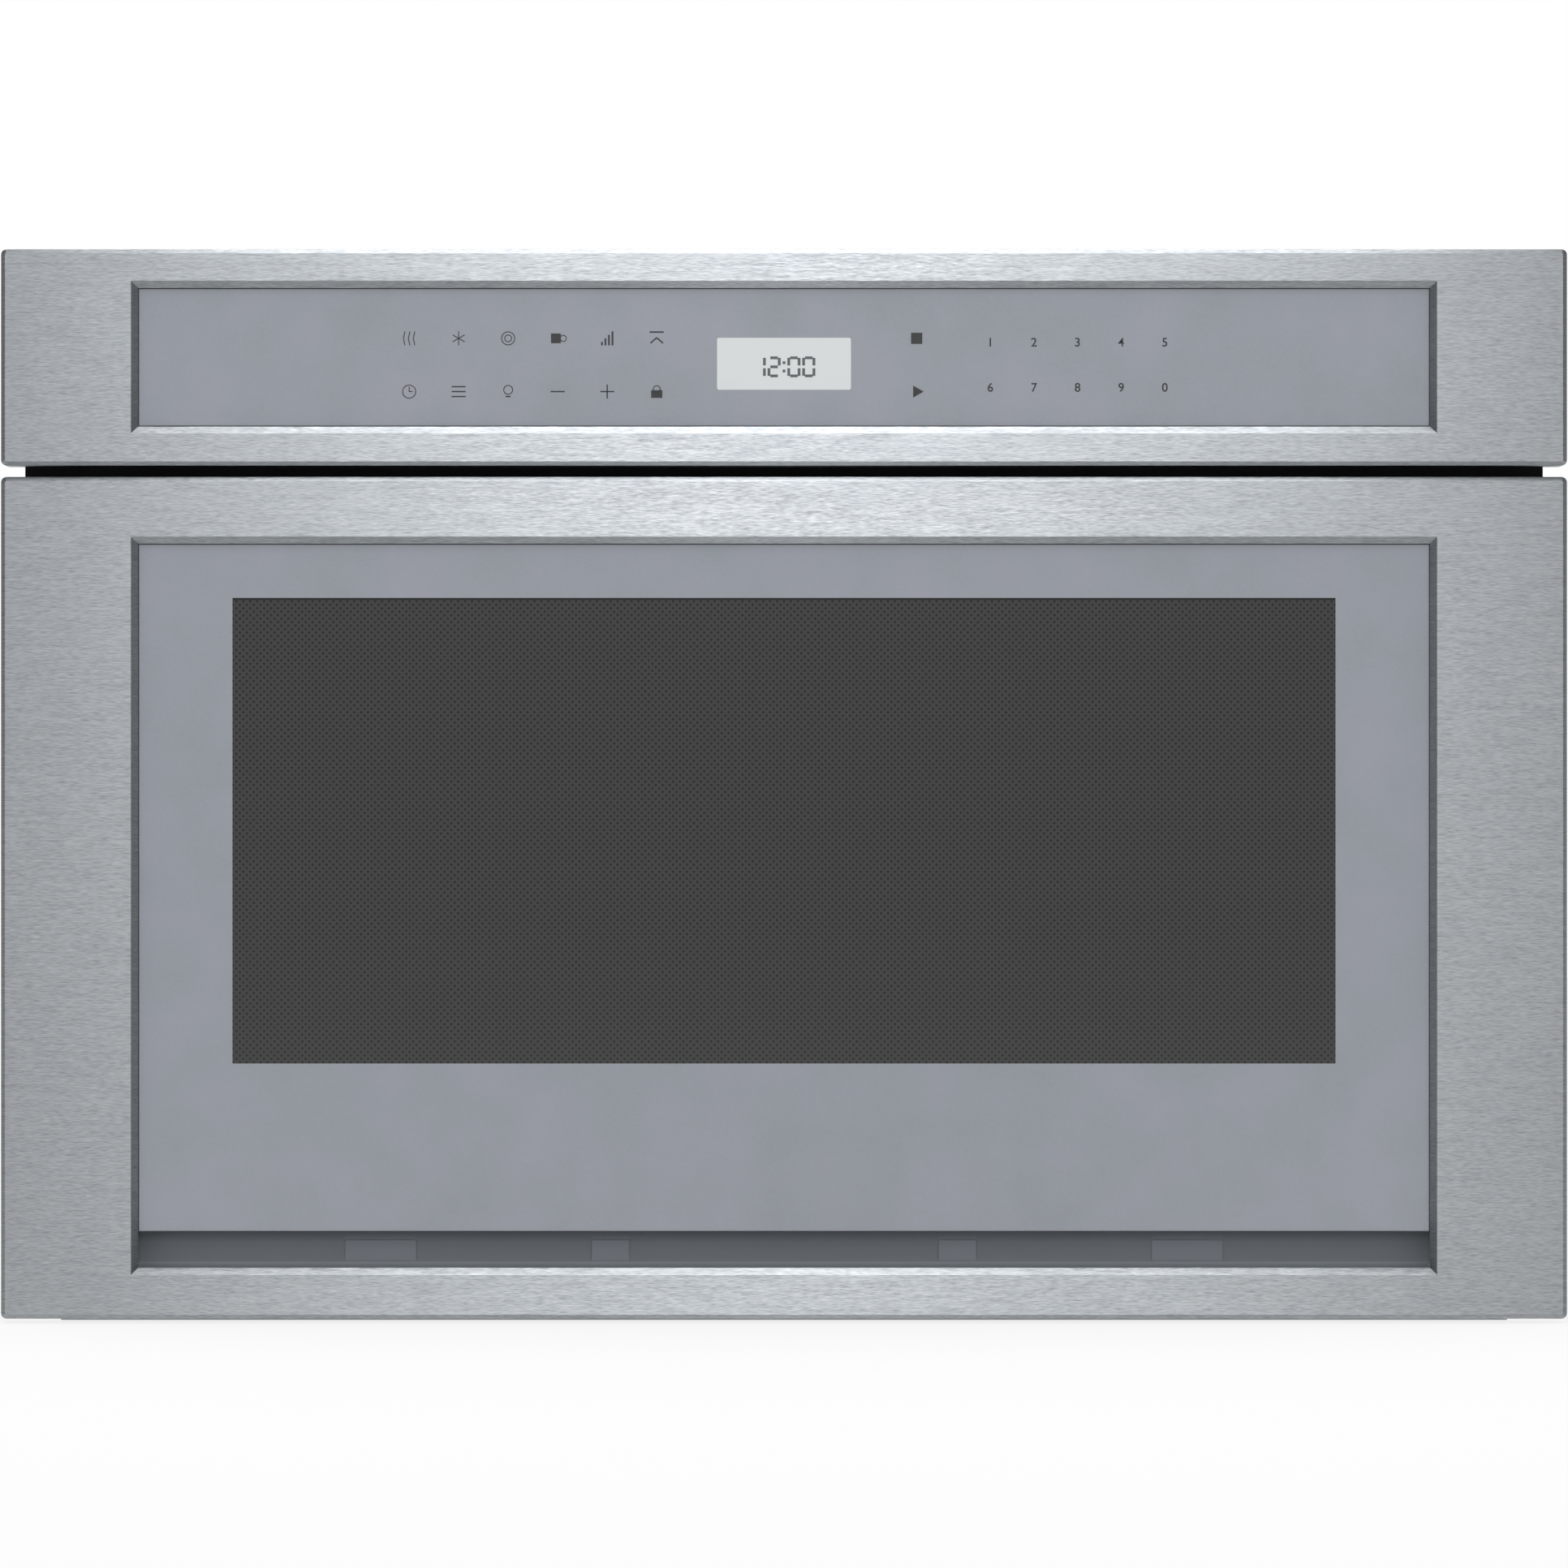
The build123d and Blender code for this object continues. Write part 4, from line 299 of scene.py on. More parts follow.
ground_steel = textured(
    "ground_steel", brushed, {"Along": 2200.0, "Across": 2200.0},
    (paint(176, 178, 180), paint(206, 208, 210)), (0.14, 0.22), 0.000002, Metallic=1.0,
)
dress(ground_steel, "cross_shaft")
dress(zinc, "slide_outers", "slide_inners", "left_slide_middle", "right_slide_middle")
dress(zinc, "left_outer_cage", "right_outer_cage", "left_inner_cage", "right_inner_cage")

ball_radius = 0.0016
ball_pitch = 0.0125
ball_sink = 0.0004
for cage in ("left_outer_cage", "right_outer_cage", "left_inner_cage", "right_inner_cage"):
    low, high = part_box(cage)
    bm = bmesh.new()
    count = int((high.y - low.y) / ball_pitch)
    start = (low.y + high.y - (count - 1) * ball_pitch) / 2
    for edge in (low.z + ball_sink, high.z - ball_sink):
        for index in range(count):
            spot = Matrix.Translation(((low.x + high.x) / 2, start + index * ball_pitch, edge))
            bmesh.ops.create_icosphere(bm, subdivisions=1, radius=ball_radius, matrix=spot)
    bmesh.ops.recalc_face_normals(bm, faces=bm.faces)
    for face in bm.faces:
        face.smooth = True
    new_piece(cage + "_balls", bm, ground_steel, cage)

# ================================================================ steel fronts
# Two fronts folded from stainless sheet, brushed from side to side, with rounded edges and a mitred bevel
# that runs down to the glass. The grain spreads every highlight into an upright band.
corner_radius = 0.0026
fold_width = 0.002
bevel_in = 0.0032
bevel_down = 0.0034
sheet = 0.0012
arris = 0.0003
fold_angle = math.radians(30)
glass_lap = 0.006
pull_wall = 0.0018


def steel_front(name, node, finish, body, opening_low, opening_high, opening_half):
    """The folded front that stands for a CAD node, with its opening given by the glass behind it."""
    low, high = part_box(node)
    bm = bmesh.new()
    middle = Matrix.Translation((low + high) / 2)
    bmesh.ops.create_cube(bm, size=1.0, matrix=middle @ Matrix.Diagonal(high - low).to_4x4())
    soft = {"offset_type": "OFFSET", "affect": "EDGES", "profile": 0.5, "material": -1}
    corners = [e for e in bm.edges if abs(e.verts[0].co.y - e.verts[1].co.y) > fold_width]
    bmesh.ops.bevel(bm, geom=corners, offset=corner_radius, segments=4, **soft)
    front = min(bm.faces, key=lambda f: f.calc_center_median().y)
    bmesh.ops.bevel(bm, geom=list(front.edges), offset=fold_width, segments=1, **soft)
    front = min(bm.faces, key=lambda f: f.calc_center_median().y)
    back = max(bm.faces, key=lambda f: f.calc_center_median().y)
    ring = list(front.edges)
    rise = opening_high - opening_low + 2 * (bevel_in + arris)
    facing = Matrix.Rotation(math.pi / 2, 4, "X")
    stand = Matrix.Translation((0, low.y, (opening_low + opening_high) / 2)) @ facing
    size = Matrix.Diagonal((2 * (opening_half + bevel_in + arris), rise, 1, 1))
    mouth = bmesh.ops.create_grid(bm, x_segments=1, y_segments=1, size=0.5, matrix=stand @ size)["verts"]
    mouth = mouth[0].link_faces[0]
    for inset, depth in ((arris, arris / 2), (bevel_in, bevel_down), (0.0, sheet)):
        bmesh.ops.inset_region(bm, faces=[mouth], thickness=inset, use_even_offset=True, use_boundary=True)
        bmesh.ops.translate(bm, verts=mouth.verts, vec=(0, depth, 0))
    ring += [e for e in bm.edges if e.is_boundary]
    bmesh.ops.delete(bm, geom=[front, back, mouth], context="FACES_ONLY")
    bmesh.ops.triangle_fill(bm, edges=ring, use_beauty=True, normal=(0, -1, 0))
    bmesh.ops.recalc_face_normals(bm, faces=bm.faces)
    if max(bm.faces, key=lambda f: f.calc_area() * abs(f.normal.y)).normal.y > 0:
        bmesh.ops.reverse_faces(bm, faces=bm.faces)
    for face in bm.faces:
        face.smooth = True
    for edge in bm.edges:
        edge.smooth = edge.calc_face_angle(0.0) < fold_angle
    made = new_piece(name, bm, finish, body)
    wall = made.modifiers.new("wall", "SOLIDIFY")
    wall.thickness = sheet
    wall.offset = -1.0
    flats = made.modifiers.new("flats", "WEIGHTED_NORMAL")
    flats.weight = 100
    flats.keep_sharp = True
    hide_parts(node)


steel = textured(
    "brushed_steel", brushed, {"Along": 250.0, "Across": 3400.0},
    (paint(150, 154, 158), paint(186, 190, 193)), (0.56, 0.4), 0.000014,
    Metallic=1.0, Anisotropic=0.88, Anisotropic_Rotation=0.25,
)

glass_low, glass_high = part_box("control_glass")
opening_half = glass_high.x - glass_lap
steel_front(
    "control_front_steel", "control_panel_frame", steel, "chassis",
    glass_low.z + glass_lap, glass_high.z - glass_lap, opening_half,
)
pull_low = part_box("pull_channel")[0]
pane_low, pane_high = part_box("drawer_glass")
steel_front(
    "drawer_front_steel", "drawer_front_frame", steel, "drawer",
    pull_low.z + pull_wall, pane_high.z - glass_lap, opening_half,
)

# ================================================================ drawer glass and window
# Back-painted glass in satin blue-grey. Its window is painted in the grey of the dark screen behind it, and a
# printed frit of staggered dots covers it.
window_half_width = 0.26735
window_height = 0.2257
window_drop = 0.0263
# Half height of the painted shade along the window's top edge.
window_shade_height = 0.001
dot_pitch = 0.00336
dot_radius = 0.00062
dot_softness = 0.00012
window_corner = 0.0003
print_softness = 0.0002
panel_softness = 0.0001
window_top = pane_high.z - glass_lap - window_drop
window_middle = window_top - window_height / 2

back_paint = textured(
    "back_painted_glass", coated, {"Grain per metre": 700.0},
    (paint(140, 147, 152), paint(160, 161, 171)), (0.12, 0.16), 0.0, IOR=1.5,
)


def mask_inside(tree, value, middle, half, softness):
    """1 where the value lies within half of middle, and 0 outside, with a soft edge."""
    away = add(tree, "Math", {0: value, 1: middle}, operation="SUBTRACT")
    distance = add(tree, "Math", {0: away.outputs[0]}, operation="ABSOLUTE")
    return add(
        tree, "MapRange",
        {"Value": distance.outputs[0], "From Min": half - softness, "From Max": half + softness,
         "To Min": 1.0, "To Max": 0.0},
    ).outputs["Result"]


def inside_panel(tree, x, z, middle_z, half_width, half_height, corner):
    """1 inside an upright rectangle with rounded corners, centred on x = 0, and 0 outside."""
    height = add(tree, "Math", {0: z, 1: middle_z}, operation="SUBTRACT").outputs[0]
    past = []
    for value, half in ((x, half_width), (height, half_height)):
        away = add(tree, "Math", {0: value}, operation="ABSOLUTE").outputs[0]
        over = add(tree, "Math", {0: away, 1: half - corner}, operation="SUBTRACT").outputs[0]
        past.append(add(tree, "Math", {0: over, 1: 0.0}, operation="MAXIMUM").outputs[0])
    reach = add(tree, "CombineXYZ", {"X": past[0], "Y": past[1]}).outputs["Vector"]
    length = add(tree, "VectorMath", {0: reach}, operation="LENGTH").outputs["Value"]
    return add(
        tree, "MapRange",
        {"Value": length, "From Min": corner - panel_softness, "From Max": corner + panel_softness,
         "To Min": 1.0, "To Max": 0.0},
    ).outputs["Result"]


def tint(tree, mask, under, colour):
    """The colour laid over what is under it, where the mask is 1."""
    return add(tree, "Mix", {"Factor": mask, 6: under, 7: colour}, data_type="RGBA").outputs[2]


def both(tree, first, second, operation="MULTIPLY"):
    """Two values joined by one operation: their product, unless another is named."""
    return add(tree, "Math", {0: first, 1: second}, operation=operation).outputs[0]


frit, given, out = new_effect("dotted_frit", {"Pitch": dot_pitch, "Dot": dot_radius})
place = add(frit, "SeparateXYZ", {"Vector": add(frit, "TexCoord").outputs["Object"]})
masks = []
for shift in (0.0, 0.5):
    offsets = []
    for axis in ("X", "Z"):
        cells = both(frit, place.outputs[axis], given["Pitch"], "DIVIDE")
        moved = both(frit, cells, shift, "ADD")
        inside = add(frit, "Math", {0: moved}, operation="FRACT").outputs[0]
        centred = both(frit, inside, 0.5, "SUBTRACT")
        offsets.append(both(frit, centred, given["Pitch"]))
    span = add(frit, "CombineXYZ", {"X": offsets[0], "Y": offsets[1]})
    reach = add(frit, "VectorMath", {0: span.outputs["Vector"]}, operation="LENGTH").outputs["Value"]
    edge = both(frit, reach, given["Dot"], "SUBTRACT")
    masks.append(add(frit, "MapRange", {"Value": edge, "From Min": -dot_softness, "From Max": dot_softness,
                                        "To Min": 1.0, "To Max": 0.0}).outputs["Result"])
dots = both(frit, masks[0], masks[1], "MAXIMUM")
frit.links.new(dots, out["Shade"])
frit.links.new(dots, out["Height"])

drawer_pane = back_paint.copy()
drawer_pane.name = "drawer_pane"
tree = drawer_pane.node_tree
shader = tree.nodes["Principled BSDF"]
paint_colour = shader.inputs["Base Color"].links[0].from_socket
place = add(tree, "SeparateXYZ", {"Vector": add(tree, "TexCoord").outputs["Object"]})
across = place.outputs["X"]
upright = place.outputs["Z"]
window = inside_panel(
    tree, across, upright, window_middle, window_half_width, window_height / 2, window_corner,
)
screen = tint(tree, add(tree, "Group", node_tree=frit).outputs["Shade"], paint(66, 66, 66), paint(43, 43, 41))
# Painted shade: a dark band along the top edge of the window.
window_top_shade = mask_inside(tree, upright, window_top, window_shade_height, print_softness)
pane = tint(tree, window, paint_colour, tint(tree, window_top_shade, screen, paint(40, 41, 41)))
tree.links.new(pane, shader.inputs["Base Color"])
dress(drawer_pane, "drawer_glass")

# A thin black seal closes the joint between each glass and its steel front. Its dark line is partly painted
# shade in that joint.
seal_width = 0.0005
seal_rise = 0.0004
seal_sink = 0.0001
# Near-black seal colour: partly the seal's own, partly painted shade in the joint.
seal_and_shade_rubber = textured(
    "seal_and_shade_rubber", coated, {"Grain per metre": 2000.0},
    (paint(40, 43, 46), paint(52, 55, 58)), (0.55, 0.65), 0.00001,
)


def add_seal_and_shade(name, body, seal_low, seal_high):
    """A flat frame of seal and painted shade on the face of a glass, just inside the opening of the steel."""
    face_y = pane_low.y + seal_sink
    bm = bmesh.new()
    facing = Matrix.Rotation(math.pi / 2, 4, "X")
    stand = Matrix.Translation((0, face_y, (seal_low + seal_high) / 2)) @ facing
    size = Matrix.Diagonal((2 * opening_half, seal_high - seal_low, 1, 1))
    bmesh.ops.create_grid(bm, x_segments=1, y_segments=1, size=0.5, matrix=stand @ size)
    inner = bm.faces[:]
    bmesh.ops.inset_region(bm, faces=inner, thickness=seal_width, use_even_offset=True, use_boundary=True)
    bmesh.ops.delete(bm, geom=inner, context="FACES_ONLY")
    raised = bmesh.ops.extrude_face_region(bm, geom=bm.faces[:])["geom"]
    front_corners = [v for v in raised if isinstance(v, bmesh.types.BMVert)]
    bmesh.ops.translate(bm, verts=front_corners, vec=(0, -seal_rise, 0))
    bmesh.ops.recalc_face_normals(bm, faces=bm.faces)
    new_piece(name, bm, seal_and_shade_rubber, body)


add_seal_and_shade("control_seal_and_shade", "chassis", glass_low.z + glass_lap, glass_high.z - glass_lap)
add_seal_and_shade("drawer_seal_and_shade", "drawer", pane_low.z, pane_high.z - glass_lap)

dark_screen = textured(
    "dark_screen", coated, {"Grain per metre": 1200.0},
    (paint(40, 40, 40), paint(50, 50, 50)), (0.5, 0.6), 0.00002, Metallic=0.3,
)
dress(dark_screen, "window_screen")

clear_glass = textured(
    "clear_glass", coated, {"Grain per metre": 8.0},
    (paint(226, 236, 232), paint(232, 240, 237)), (0.02, 0.03), 0.0,
    IOR=1.5, Transmission_Weight=0.9,
)
dress(clear_glass, "inner_glass")

# ================================================================ pull channel and tray
# The pull is a trough moulded in dark grey plastic, pitched up behind the glass edge, with its pads tinted
# lighter.
# Its colour darkens towards the top as painted shade under the glass edge, and a painted highlight lightens
# its lower lip. The tray is a plate of smooth dark glass ceramic with two fine printed rings.
pads = ((0.1959, 0.0172), (0.0843, 0.00905))  # distance from the middle, half width
# Heights over which the trough turns darker towards the top: painted shade under the glass edge.
painted_shade_start = 0.0385
painted_shade_end = 0.0425
# Half height of the lighter strip along the bottom: a painted highlight on the lower lip.
lip_highlight_height = 0.0043
pull_moulding_and_painted_light = textured(
    "pull_moulding_and_painted_light", coated, {"Grain per metre": 2200.0},
    (paint(126, 132, 139), paint(134, 140, 147)), (0.5, 0.6), 0.00002,
)
tree = pull_moulding_and_painted_light.node_tree
shader = tree.nodes["Principled BSDF"]
moulded = shader.inputs["Base Color"].links[0].from_socket
place = add(tree, "SeparateXYZ", {"Vector": add(tree, "TexCoord").outputs["Object"]})
sideways = add(tree, "Math", {0: place.outputs["X"]}, operation="ABSOLUTE").outputs[0]
for pad_x, pad_half in pads:
    pad = mask_inside(tree, sideways, pad_x, pad_half, print_softness)
    moulded = tint(tree, pad, moulded, paint(143, 149, 157))
upright = place.outputs["Z"]
# Painted shade: the trough darkens towards the top, under the glass edge.
painted_shade = add(tree, "MapRange", {"Value": upright, "From Min": painted_shade_start, "From Max": painted_shade_end}).outputs[0]
moulded = tint(tree, painted_shade, moulded, paint(104, 110, 116))
# Painted highlight: a lighter strip along the lower lip of the trough.
lip_highlight = mask_inside(tree, upright, pull_low.z, lip_highlight_height, print_softness)
moulded = tint(tree, lip_highlight, moulded, paint(160, 166, 173))
tree.links.new(moulded, shader.inputs["Base Color"])
dress(pull_moulding_and_painted_light, "pull_channel")

tray_low, tray_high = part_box("ceramic_tray")
tray_middle_y = (tray_low.y + tray_high.y) / 2
inner_radius = 0.07
outer_radius = 0.14
ring_half_width = 0.0006
tray_glass = textured(
    "tray_ceramic", coated, {"Grain per metre": 600.0},
    (paint(30, 30, 33), paint(40, 40, 43)), (0.08, 0.14), 0.0, IOR=1.52,
)
tree = tray_glass.node_tree
shader = tree.nodes["Principled BSDF"]
ground = shader.inputs["Base Color"].links[0].from_socket
place = add(tree, "TexCoord").outputs["Object"]
centred = add(tree, "VectorMath", {0: place, 1: (0, tray_middle_y, tray_high.z)}, operation="SUBTRACT")
radius = add(tree, "VectorMath", {0: centred.outputs["Vector"]}, operation="LENGTH").outputs["Value"]
inner_ring = mask_inside(tree, radius, inner_radius, ring_half_width, print_softness)
outer_ring = mask_inside(tree, radius, outer_radius, ring_half_width, print_softness)
rings = both(tree, inner_ring, outer_ring, "MAXIMUM")
tree.links.new(tint(tree, rings, ground, paint(120, 120, 122)), shader.inputs["Base Color"])
dress(tray_glass, "ceramic_tray")

# ================================================================ control glass: display and keys
# Behind the control glass sits a pale liquid crystal clock. The keys are touch areas, marked in near-black
# ink: the ten figures on the right, and plain signs for the functions.
display_low, display_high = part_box("display_module")
display_half_width = 0.03245
display_height = 0.0252
display_corner = 0.001
display_middle = (display_low.z + display_high.z) / 2
shown = back_paint.copy()
shown.name = "control_pane"
tree = shown.node_tree
shader = tree.nodes["Principled BSDF"]
paint_colour = shader.inputs["Base Color"].links[0].from_socket
place = add(tree, "SeparateXYZ", {"Vector": add(tree, "TexCoord").outputs["Object"]})
lit = inside_panel(
    tree, place.outputs["X"], place.outputs["Z"], display_middle, display_half_width, display_height / 2,
    display_corner,
)
tree.links.new(tint(tree, lit, paint_colour, paint(214, 218, 219)), shader.inputs["Base Color"])
dress(shown, "control_glass")

lens = textured(
    "display_lens", coated, {"Grain per metre": 400.0},
    (paint(206, 211, 210), paint(214, 218, 217)), (0.2, 0.25), 0.0,
)
dress(lens, "display_module")

ink = textured(
    "key_ink", coated, {"Grain per metre": 3000.0},
    (paint(24, 25, 27), paint(34, 35, 37)), (0.35, 0.45), 0.0,
)
segment_ink = textured(
    "segment_ink", coated, {"Grain per metre": 3000.0},
    (paint(74, 78, 80), paint(84, 88, 90)), (0.35, 0.45), 0.0,
)
ink_rise = 0.00004
ink_y = glass_low.y - ink_rise


def stroke(bm, x, z, length, width, turn=0.0):
    """A flat bar of ink, facing the front, with its middle at x, z."""
    stand = Matrix.Translation((x, ink_y, z)) @ Matrix.Rotation(turn, 4, "Y")
    flat = Matrix.Diagonal((length, 1, width, 1)) @ Matrix.Rotation(math.pi / 2, 4, "X")
    bmesh.ops.create_grid(bm, x_segments=1, y_segments=1, size=0.5, matrix=stand @ flat)


def ring(bm, x, z, radius, width):
    """A ring of ink, facing the front."""
    stand = Matrix.Translation((x, ink_y, z)) @ Matrix.Rotation(math.pi / 2, 4, "X")
    loops = []
    for size in (radius, radius - width):
        corners = bmesh.ops.create_circle(bm, segments=28, radius=size, matrix=stand)["verts"]
        loops += {edge for corner in corners for edge in corner.link_edges}
    bmesh.ops.bridge_loops(bm, edges=loops)


# Clock figures: seven-segment digits at rest, as a new clock shows them.
figure_height = 0.0101
figure_width = 0.005
segment = 0.00135
figure_pitch = 0.0072
colon_room = 0.0012
colon_rise = figure_height / 5
segments_of = {"1": "bc", "2": "abged", "0": "abcdef"}
clock_drop = 0.0015
clock_z = display_middle - clock_drop
bm = bmesh.new()
arm = figure_height / 2 - segment
places = {
    "a": (0, figure_height / 2 - segment / 2, False), "g": (0, 0, False),
    "d": (0, segment / 2 - figure_height / 2, False),
    "b": (figure_width / 2, figure_height / 4, True), "c": (figure_width / 2, -figure_height / 4, True),
    "f": (-figure_width / 2, figure_height / 4, True), "e": (-figure_width / 2, -figure_height / 4, True),
}
for index, digit in enumerate("1200"):
    figure_x = (index - 1.5) * figure_pitch + (colon_room if index > 1 else -colon_room)
    for name in segments_of[digit]:
        dx, dz, standing = places[name]
        length = arm if standing else figure_width - segment
        stroke(bm, figure_x + dx, clock_z + dz, length, segment, math.pi / 2 if standing else 0.0)
for dz in (-1, 1):
    stroke(bm, 0.0, clock_z + dz * colon_rise, segment, segment)
new_piece("clock_figures", bm, segment_ink, "chassis")

# Function signs, drawn in ink from bars and rings, each about 6 mm across.
thin = 0.00045
sign_size = 0.0034
key_pitch = 0.0240
first_key_x = -0.1817
upper_key_z = 0.4769
lower_key_z = 0.4511


def sign_clock(bm, x, z):
    ring(bm, x, z, sign_size, thin)
    stroke(bm, x, z + sign_size / 3, thin, sign_size * 2 / 3)
    stroke(bm, x + sign_size / 4, z, sign_size / 2, thin)


def sign_levels(bm, x, z):
    for step in range(4):
        height = sign_size * (step + 1) / 2
        stroke(bm, x + (step - 1.5) * sign_size / 2, z - sign_size + height / 2, thin * 2, height)


def sign_frost(bm, x, z):
    for turn in range(3):
        stroke(bm, x, z, 2 * sign_size, thin, math.radians(30 + 60 * turn))


def sign_plus(bm, x, z):
    stroke(bm, x, z, 2 * sign_size, thin * 1.4)
    stroke(bm, x, z, thin * 1.4, 2 * sign_size)


def sign_minus(bm, x, z):
    stroke(bm, x, z, 2 * sign_size, thin * 1.4)


def sign_heat(bm, x, z):
    for step in (-1, 0, 1):
        stroke(bm, x + step * sign_size * 0.7, z + sign_size / 2, thin, sign_size, math.radians(12))
        stroke(bm, x + step * sign_size * 0.7, z - sign_size / 2, thin, sign_size, math.radians(-12))


def sign_plate(bm, x, z):
    ring(bm, x, z, sign_size, thin)
    ring(bm, x, z, sign_size * 0.55, thin)


def sign_cup(bm, x, z):
    ring(bm, x + sign_size * 0.8, z, sign_size * 0.5, thin)
    stroke(bm, x - sign_size / 4, z, sign_size * 1.4, sign_size * 1.4)


def sign_lamp(bm, x, z):
    ring(bm, x, z + sign_size / 4, sign_size * 0.7, thin)
    stroke(bm, x, z - sign_size * 0.7, sign_size * 0.7, thin * 1.5)


def sign_lock(bm, x, z):
    ring(bm, x, z + sign_size * 0.35, sign_size * 0.55, thin)
    stroke(bm, x, z - sign_size * 0.35, sign_size * 1.6, sign_size * 1.1)


def sign_rows(bm, x, z):
    for step in (-1, 0, 1):
        stroke(bm, x, z + step * sign_size * 0.7, 2 * sign_size, thin * 1.4)


def sign_start(bm, x, z):
    stand = Matrix.Translation((x, ink_y, z)) @ Matrix.Rotation(math.pi / 2, 4, "X")
    bmesh.ops.create_circle(
        bm, cap_ends=True, segments=3, radius=sign_size, matrix=stand @ Matrix.Rotation(-math.pi / 2, 4, "Z"),
    )


def sign_stop(bm, x, z):
    stroke(bm, x, z, 1.6 * sign_size, 1.6 * sign_size)


def sign_open(bm, x, z):
    stroke(bm, x, z + sign_size * 0.9, 2 * sign_size, thin * 1.6)
    for side in (-1, 1):
        stroke(bm, x + side * sign_size * 0.45, z - sign_size * 0.3, sign_size * 1.2, thin * 1.6,
               math.radians(side * 40))


upper_signs = (sign_heat, sign_frost, sign_plate, sign_cup, sign_levels, sign_open)
lower_signs = (sign_clock, sign_rows, sign_lamp, sign_minus, sign_plus, sign_lock)
bm = bmesh.new()
for column, (upper, lower) in enumerate(zip(upper_signs, lower_signs)):
    upper(bm, first_key_x + column * key_pitch, upper_key_z)
    lower(bm, first_key_x + column * key_pitch, lower_key_z)
command_x = 0.0643
sign_stop(bm, command_x, upper_key_z)
sign_start(bm, command_x, lower_key_z)
bmesh.ops.recalc_face_normals(bm, faces=bm.faces)
new_piece("key_signs", bm, ink, "chassis")

# Figures of the number keys.
number_height = 0.0042
capital_share = 0.7
stroke_swell = 0.00007
number_pitch = 0.02115
first_number_x = 0.1000
upper_number_z = 0.4748
lower_number_z = 0.4529
bm = bmesh.new()
for index, digit in enumerate("1234567890"):
    letter = bpy.data.curves.new("number_key", "FONT")
    letter.body = digit
    letter.size = number_height / capital_share
    letter.align_x = "CENTER"
    letter.align_y = "CENTER"
    letter.resolution_u = 6
    letter.offset = stroke_swell
    holder = bpy.data.objects.new("number_key", letter)
    shape = bpy.data.meshes.new_from_object(holder)
    spot_z = upper_number_z if index < 5 else lower_number_z
    stand = Matrix.Translation((first_number_x + index % 5 * number_pitch, ink_y, spot_z))
    shape.transform(stand @ Matrix.Rotation(math.pi / 2, 4, "X"))
    bm.from_mesh(shape)
    bpy.data.objects.remove(holder)
new_piece("key_numbers", bm, ink, "chassis")

# ================================================================ stage
# A pale floor, an even white studio and one soft lamp above the front. Dim cards in front and at both sides
# and two glowing ones above are seen in reflections alone. They give the steel its tones and bright bands.
floor_size = 14.0
sunk = 0.0004
floor_glow_share = 0.8


def seen_rays(tree):
    """1 for the rays that meet the white backdrop: from the camera, in a reflection or through glass."""
    rays = add(tree, "LightPath").outputs
    mirrored = both(tree, rays["Is Camera Ray"], rays["Is Glossy Ray"], "MAXIMUM")
    return both(tree, mirrored, rays["Is Transmission Ray"], "MAXIMUM")


floor_paint = bpy.data.materials.new("floor_paint")
floor_paint.use_nodes = True
tree = floor_paint.node_tree
tree.nodes["Principled BSDF"].inputs["Base Color"].default_value = (0.9, 0.9, 0.9, 1)
tree.nodes["Principled BSDF"].inputs["Roughness"].default_value = 0.9
glow = add(tree, "Emission", {"Color": (1, 1, 1, 1), "Strength": 1.0})
share = both(tree, seen_rays(tree), floor_glow_share)
cover = add(tree, "MixShader", {0: share, 1: tree.nodes["Principled BSDF"].outputs["BSDF"],
                                2: glow.outputs["Emission"]})
tree.links.new(cover.outputs["Shader"], tree.nodes["Material Output"].inputs["Surface"])
bm = bmesh.new()
lowered = Matrix.Translation((0, 0, -sunk))
bmesh.ops.create_grid(bm, x_segments=1, y_segments=1, size=floor_size, matrix=lowered)
floor = build("floor", bm, floor_paint)


def reflection_card(name, colour, level, stand, width, height):
    """A glowing card, square to the stand's Z axis, that only reflections see."""
    card_paint = bpy.data.materials.new(name)
    card_paint.use_nodes = True
    shader = card_paint.node_tree.nodes["Principled BSDF"]
    shader.inputs["Base Color"].default_value = (0, 0, 0, 1)
    shader.inputs["Emission Color"].default_value = colour
    shader.inputs["Emission Strength"].default_value = level
    bm = bmesh.new()
    size = Matrix.Diagonal((width, height, 1, 1))
    bmesh.ops.create_grid(bm, x_segments=1, y_segments=1, size=0.5, matrix=stand @ size)
    card = build(name, bm, card_paint)
    card.visible_camera = False
    card.visible_diffuse = False
    card.visible_shadow = False
    card.visible_transmission = False


def standing(x, y, z, tilt=90.0, turn=0.0):
    """A card's stand: tilted up from lying flat, then turned about the vertical, both in degrees."""
    tilted = Matrix.Rotation(math.radians(tilt), 4, "X")
    return Matrix.Translation((x, y, z)) @ Matrix.Rotation(math.radians(turn), 4, "Z") @ tilted


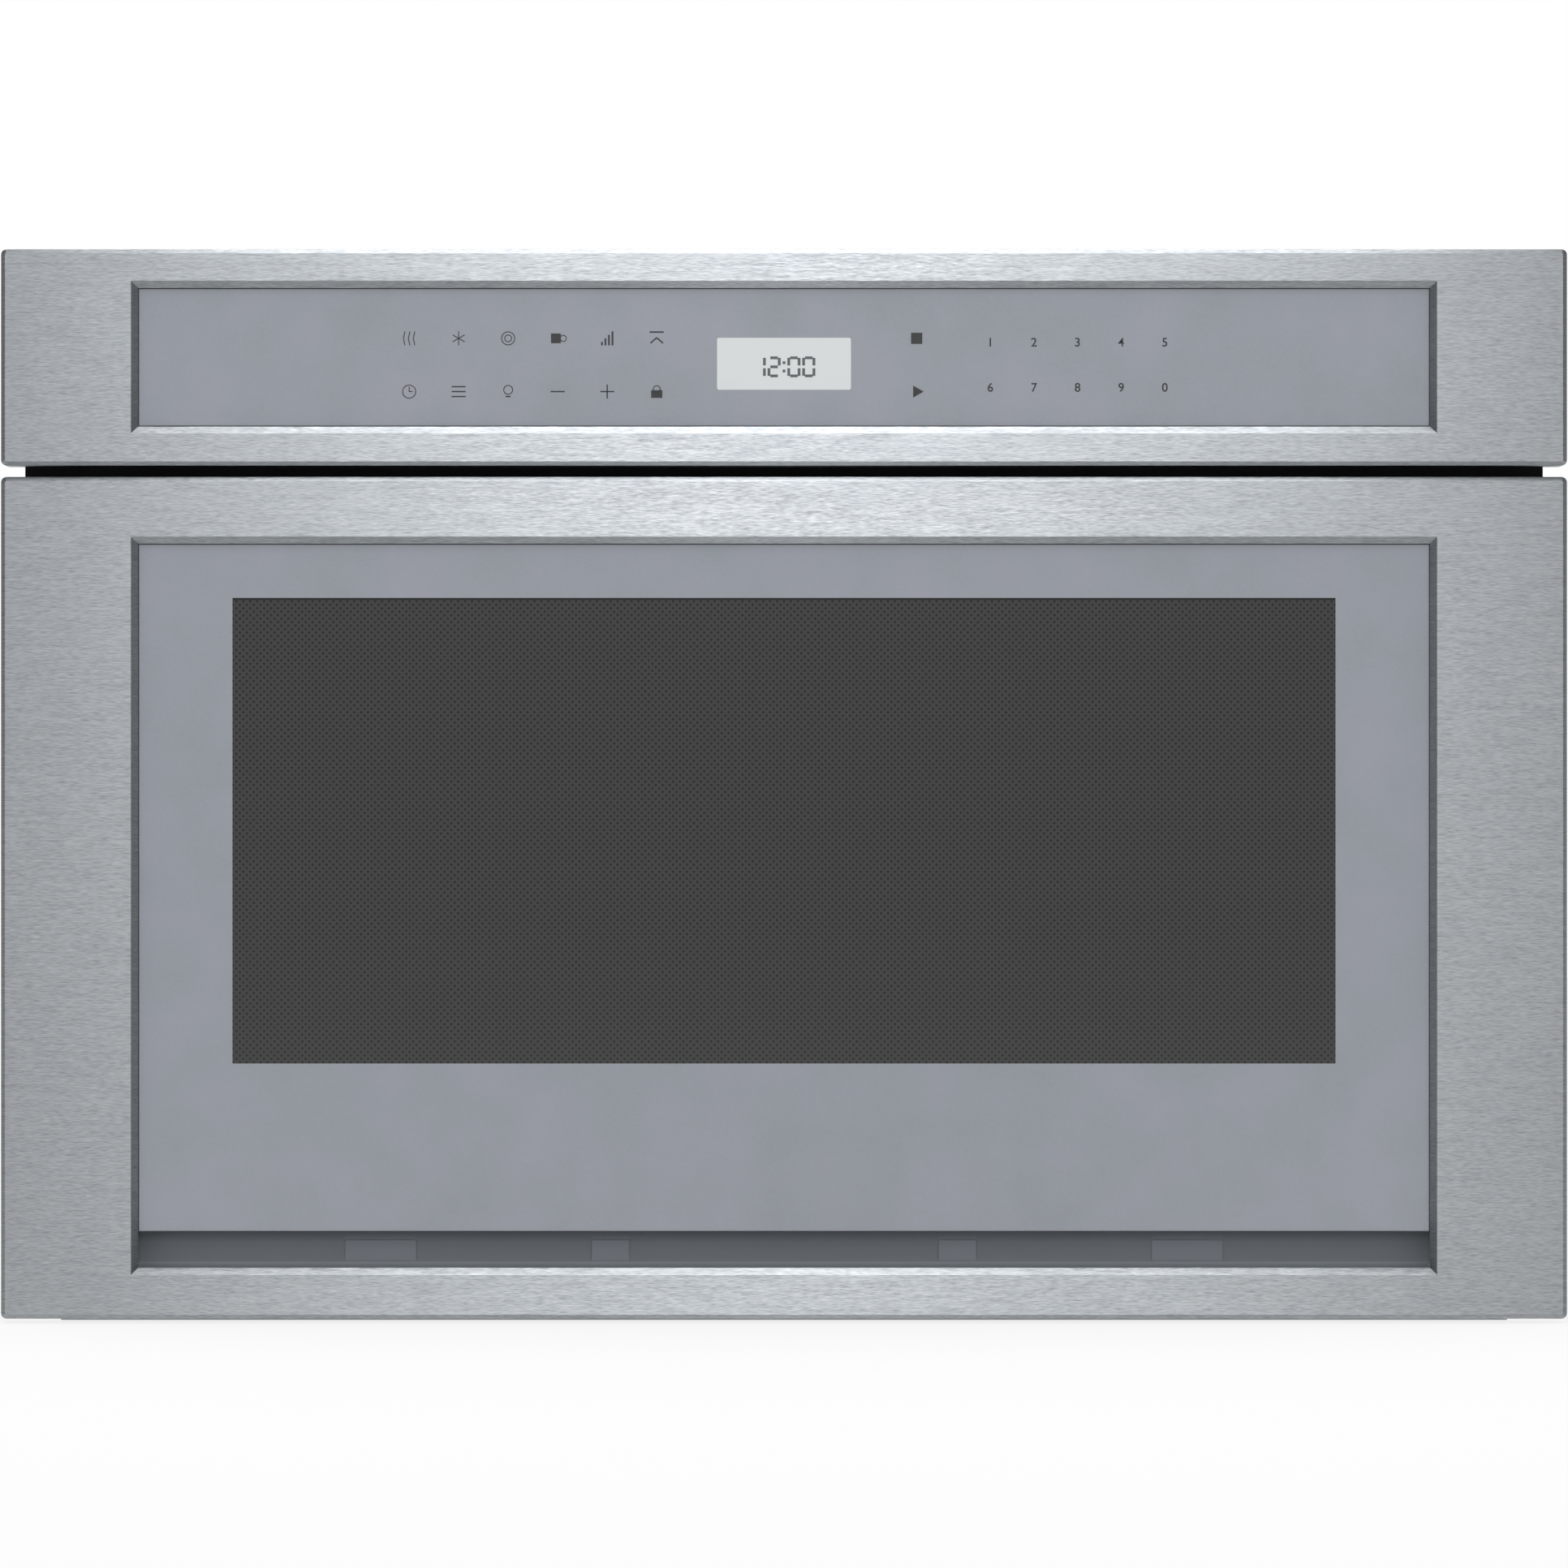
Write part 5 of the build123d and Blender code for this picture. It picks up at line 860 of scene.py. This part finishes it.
white = (1.0, 1.0, 1.0, 1.0)
cool = (0.87, 0.93, 1.0, 1.0)
card_distance = 4.0
card_half_width = 2.1
card_height = 5.5
side_start = -0.3
reflection_card(
    "front_card", cool, 0.14, standing(0, -card_distance, card_height / 2), 2 * card_half_width, card_height,
)
side_middle = -(card_distance + side_start) / 2
for side, name in ((-1, "left_card"), (1, "right_card")):
    reflection_card(
        name, cool, 0.02, standing(side * card_half_width, side_middle, card_height / 2, turn=90.0),
        card_distance - side_start, card_height,
    )
reflection_card("front_glow", white, 26.0, standing(0, -2.5, 1.15, tilt=65.0), 0.3, 0.6)
reflection_card("top_glow", white, 10.0, standing(0, -0.43, 1.1, tilt=0.0), 0.78, 0.24)

studio = bpy.data.worlds.new("studio")
bpy.context.scene.world = studio
studio.use_nodes = True
tree = studio.node_tree
studio_level = 0.94
level = add(tree, "Mix", {"Factor": seen_rays(tree), "A": studio_level, "B": 1.0}).outputs["Result"]
tree.links.new(level, tree.nodes["Background"].inputs["Strength"])
tree.nodes["Background"].inputs["Color"].default_value = (1, 1, 1, 1)

lamp = bpy.data.lights.new("lamp", "AREA")
lamp.shape = "RECTANGLE"
lamp.size = 1.2
lamp.size_y = 0.8
lamp.energy = 9.0
lamp_stand = bpy.data.objects.new("lamp", lamp)
lamp_stand.location = (0.0, -1.8, 2.2)
lamp_stand.rotation_euler = (math.radians(40), 0, 0)
lamp_stand.visible_camera = False
lamp_stand.visible_glossy = False
bpy.context.scene.collection.objects.link(lamp_stand)

# Camera: straight in front at the height of the part's middle, with the photograph's framing.
view_distance = 8.0
view_width = 0.7596
view_height = 0.2609
eye = bpy.data.cameras.new("eye")
eye.sensor_width = 36.0
eye.lens = eye.sensor_width * view_distance / view_width
stand = bpy.data.objects.new("eye", eye)
stand.location = (0.0, cad_low.y - view_distance, view_height)
stand.rotation_euler = (math.pi / 2, 0, 0)
bpy.context.scene.collection.objects.link(stand)
bpy.context.scene.camera = stand
bpy.context.scene.view_settings.view_transform = "Standard"
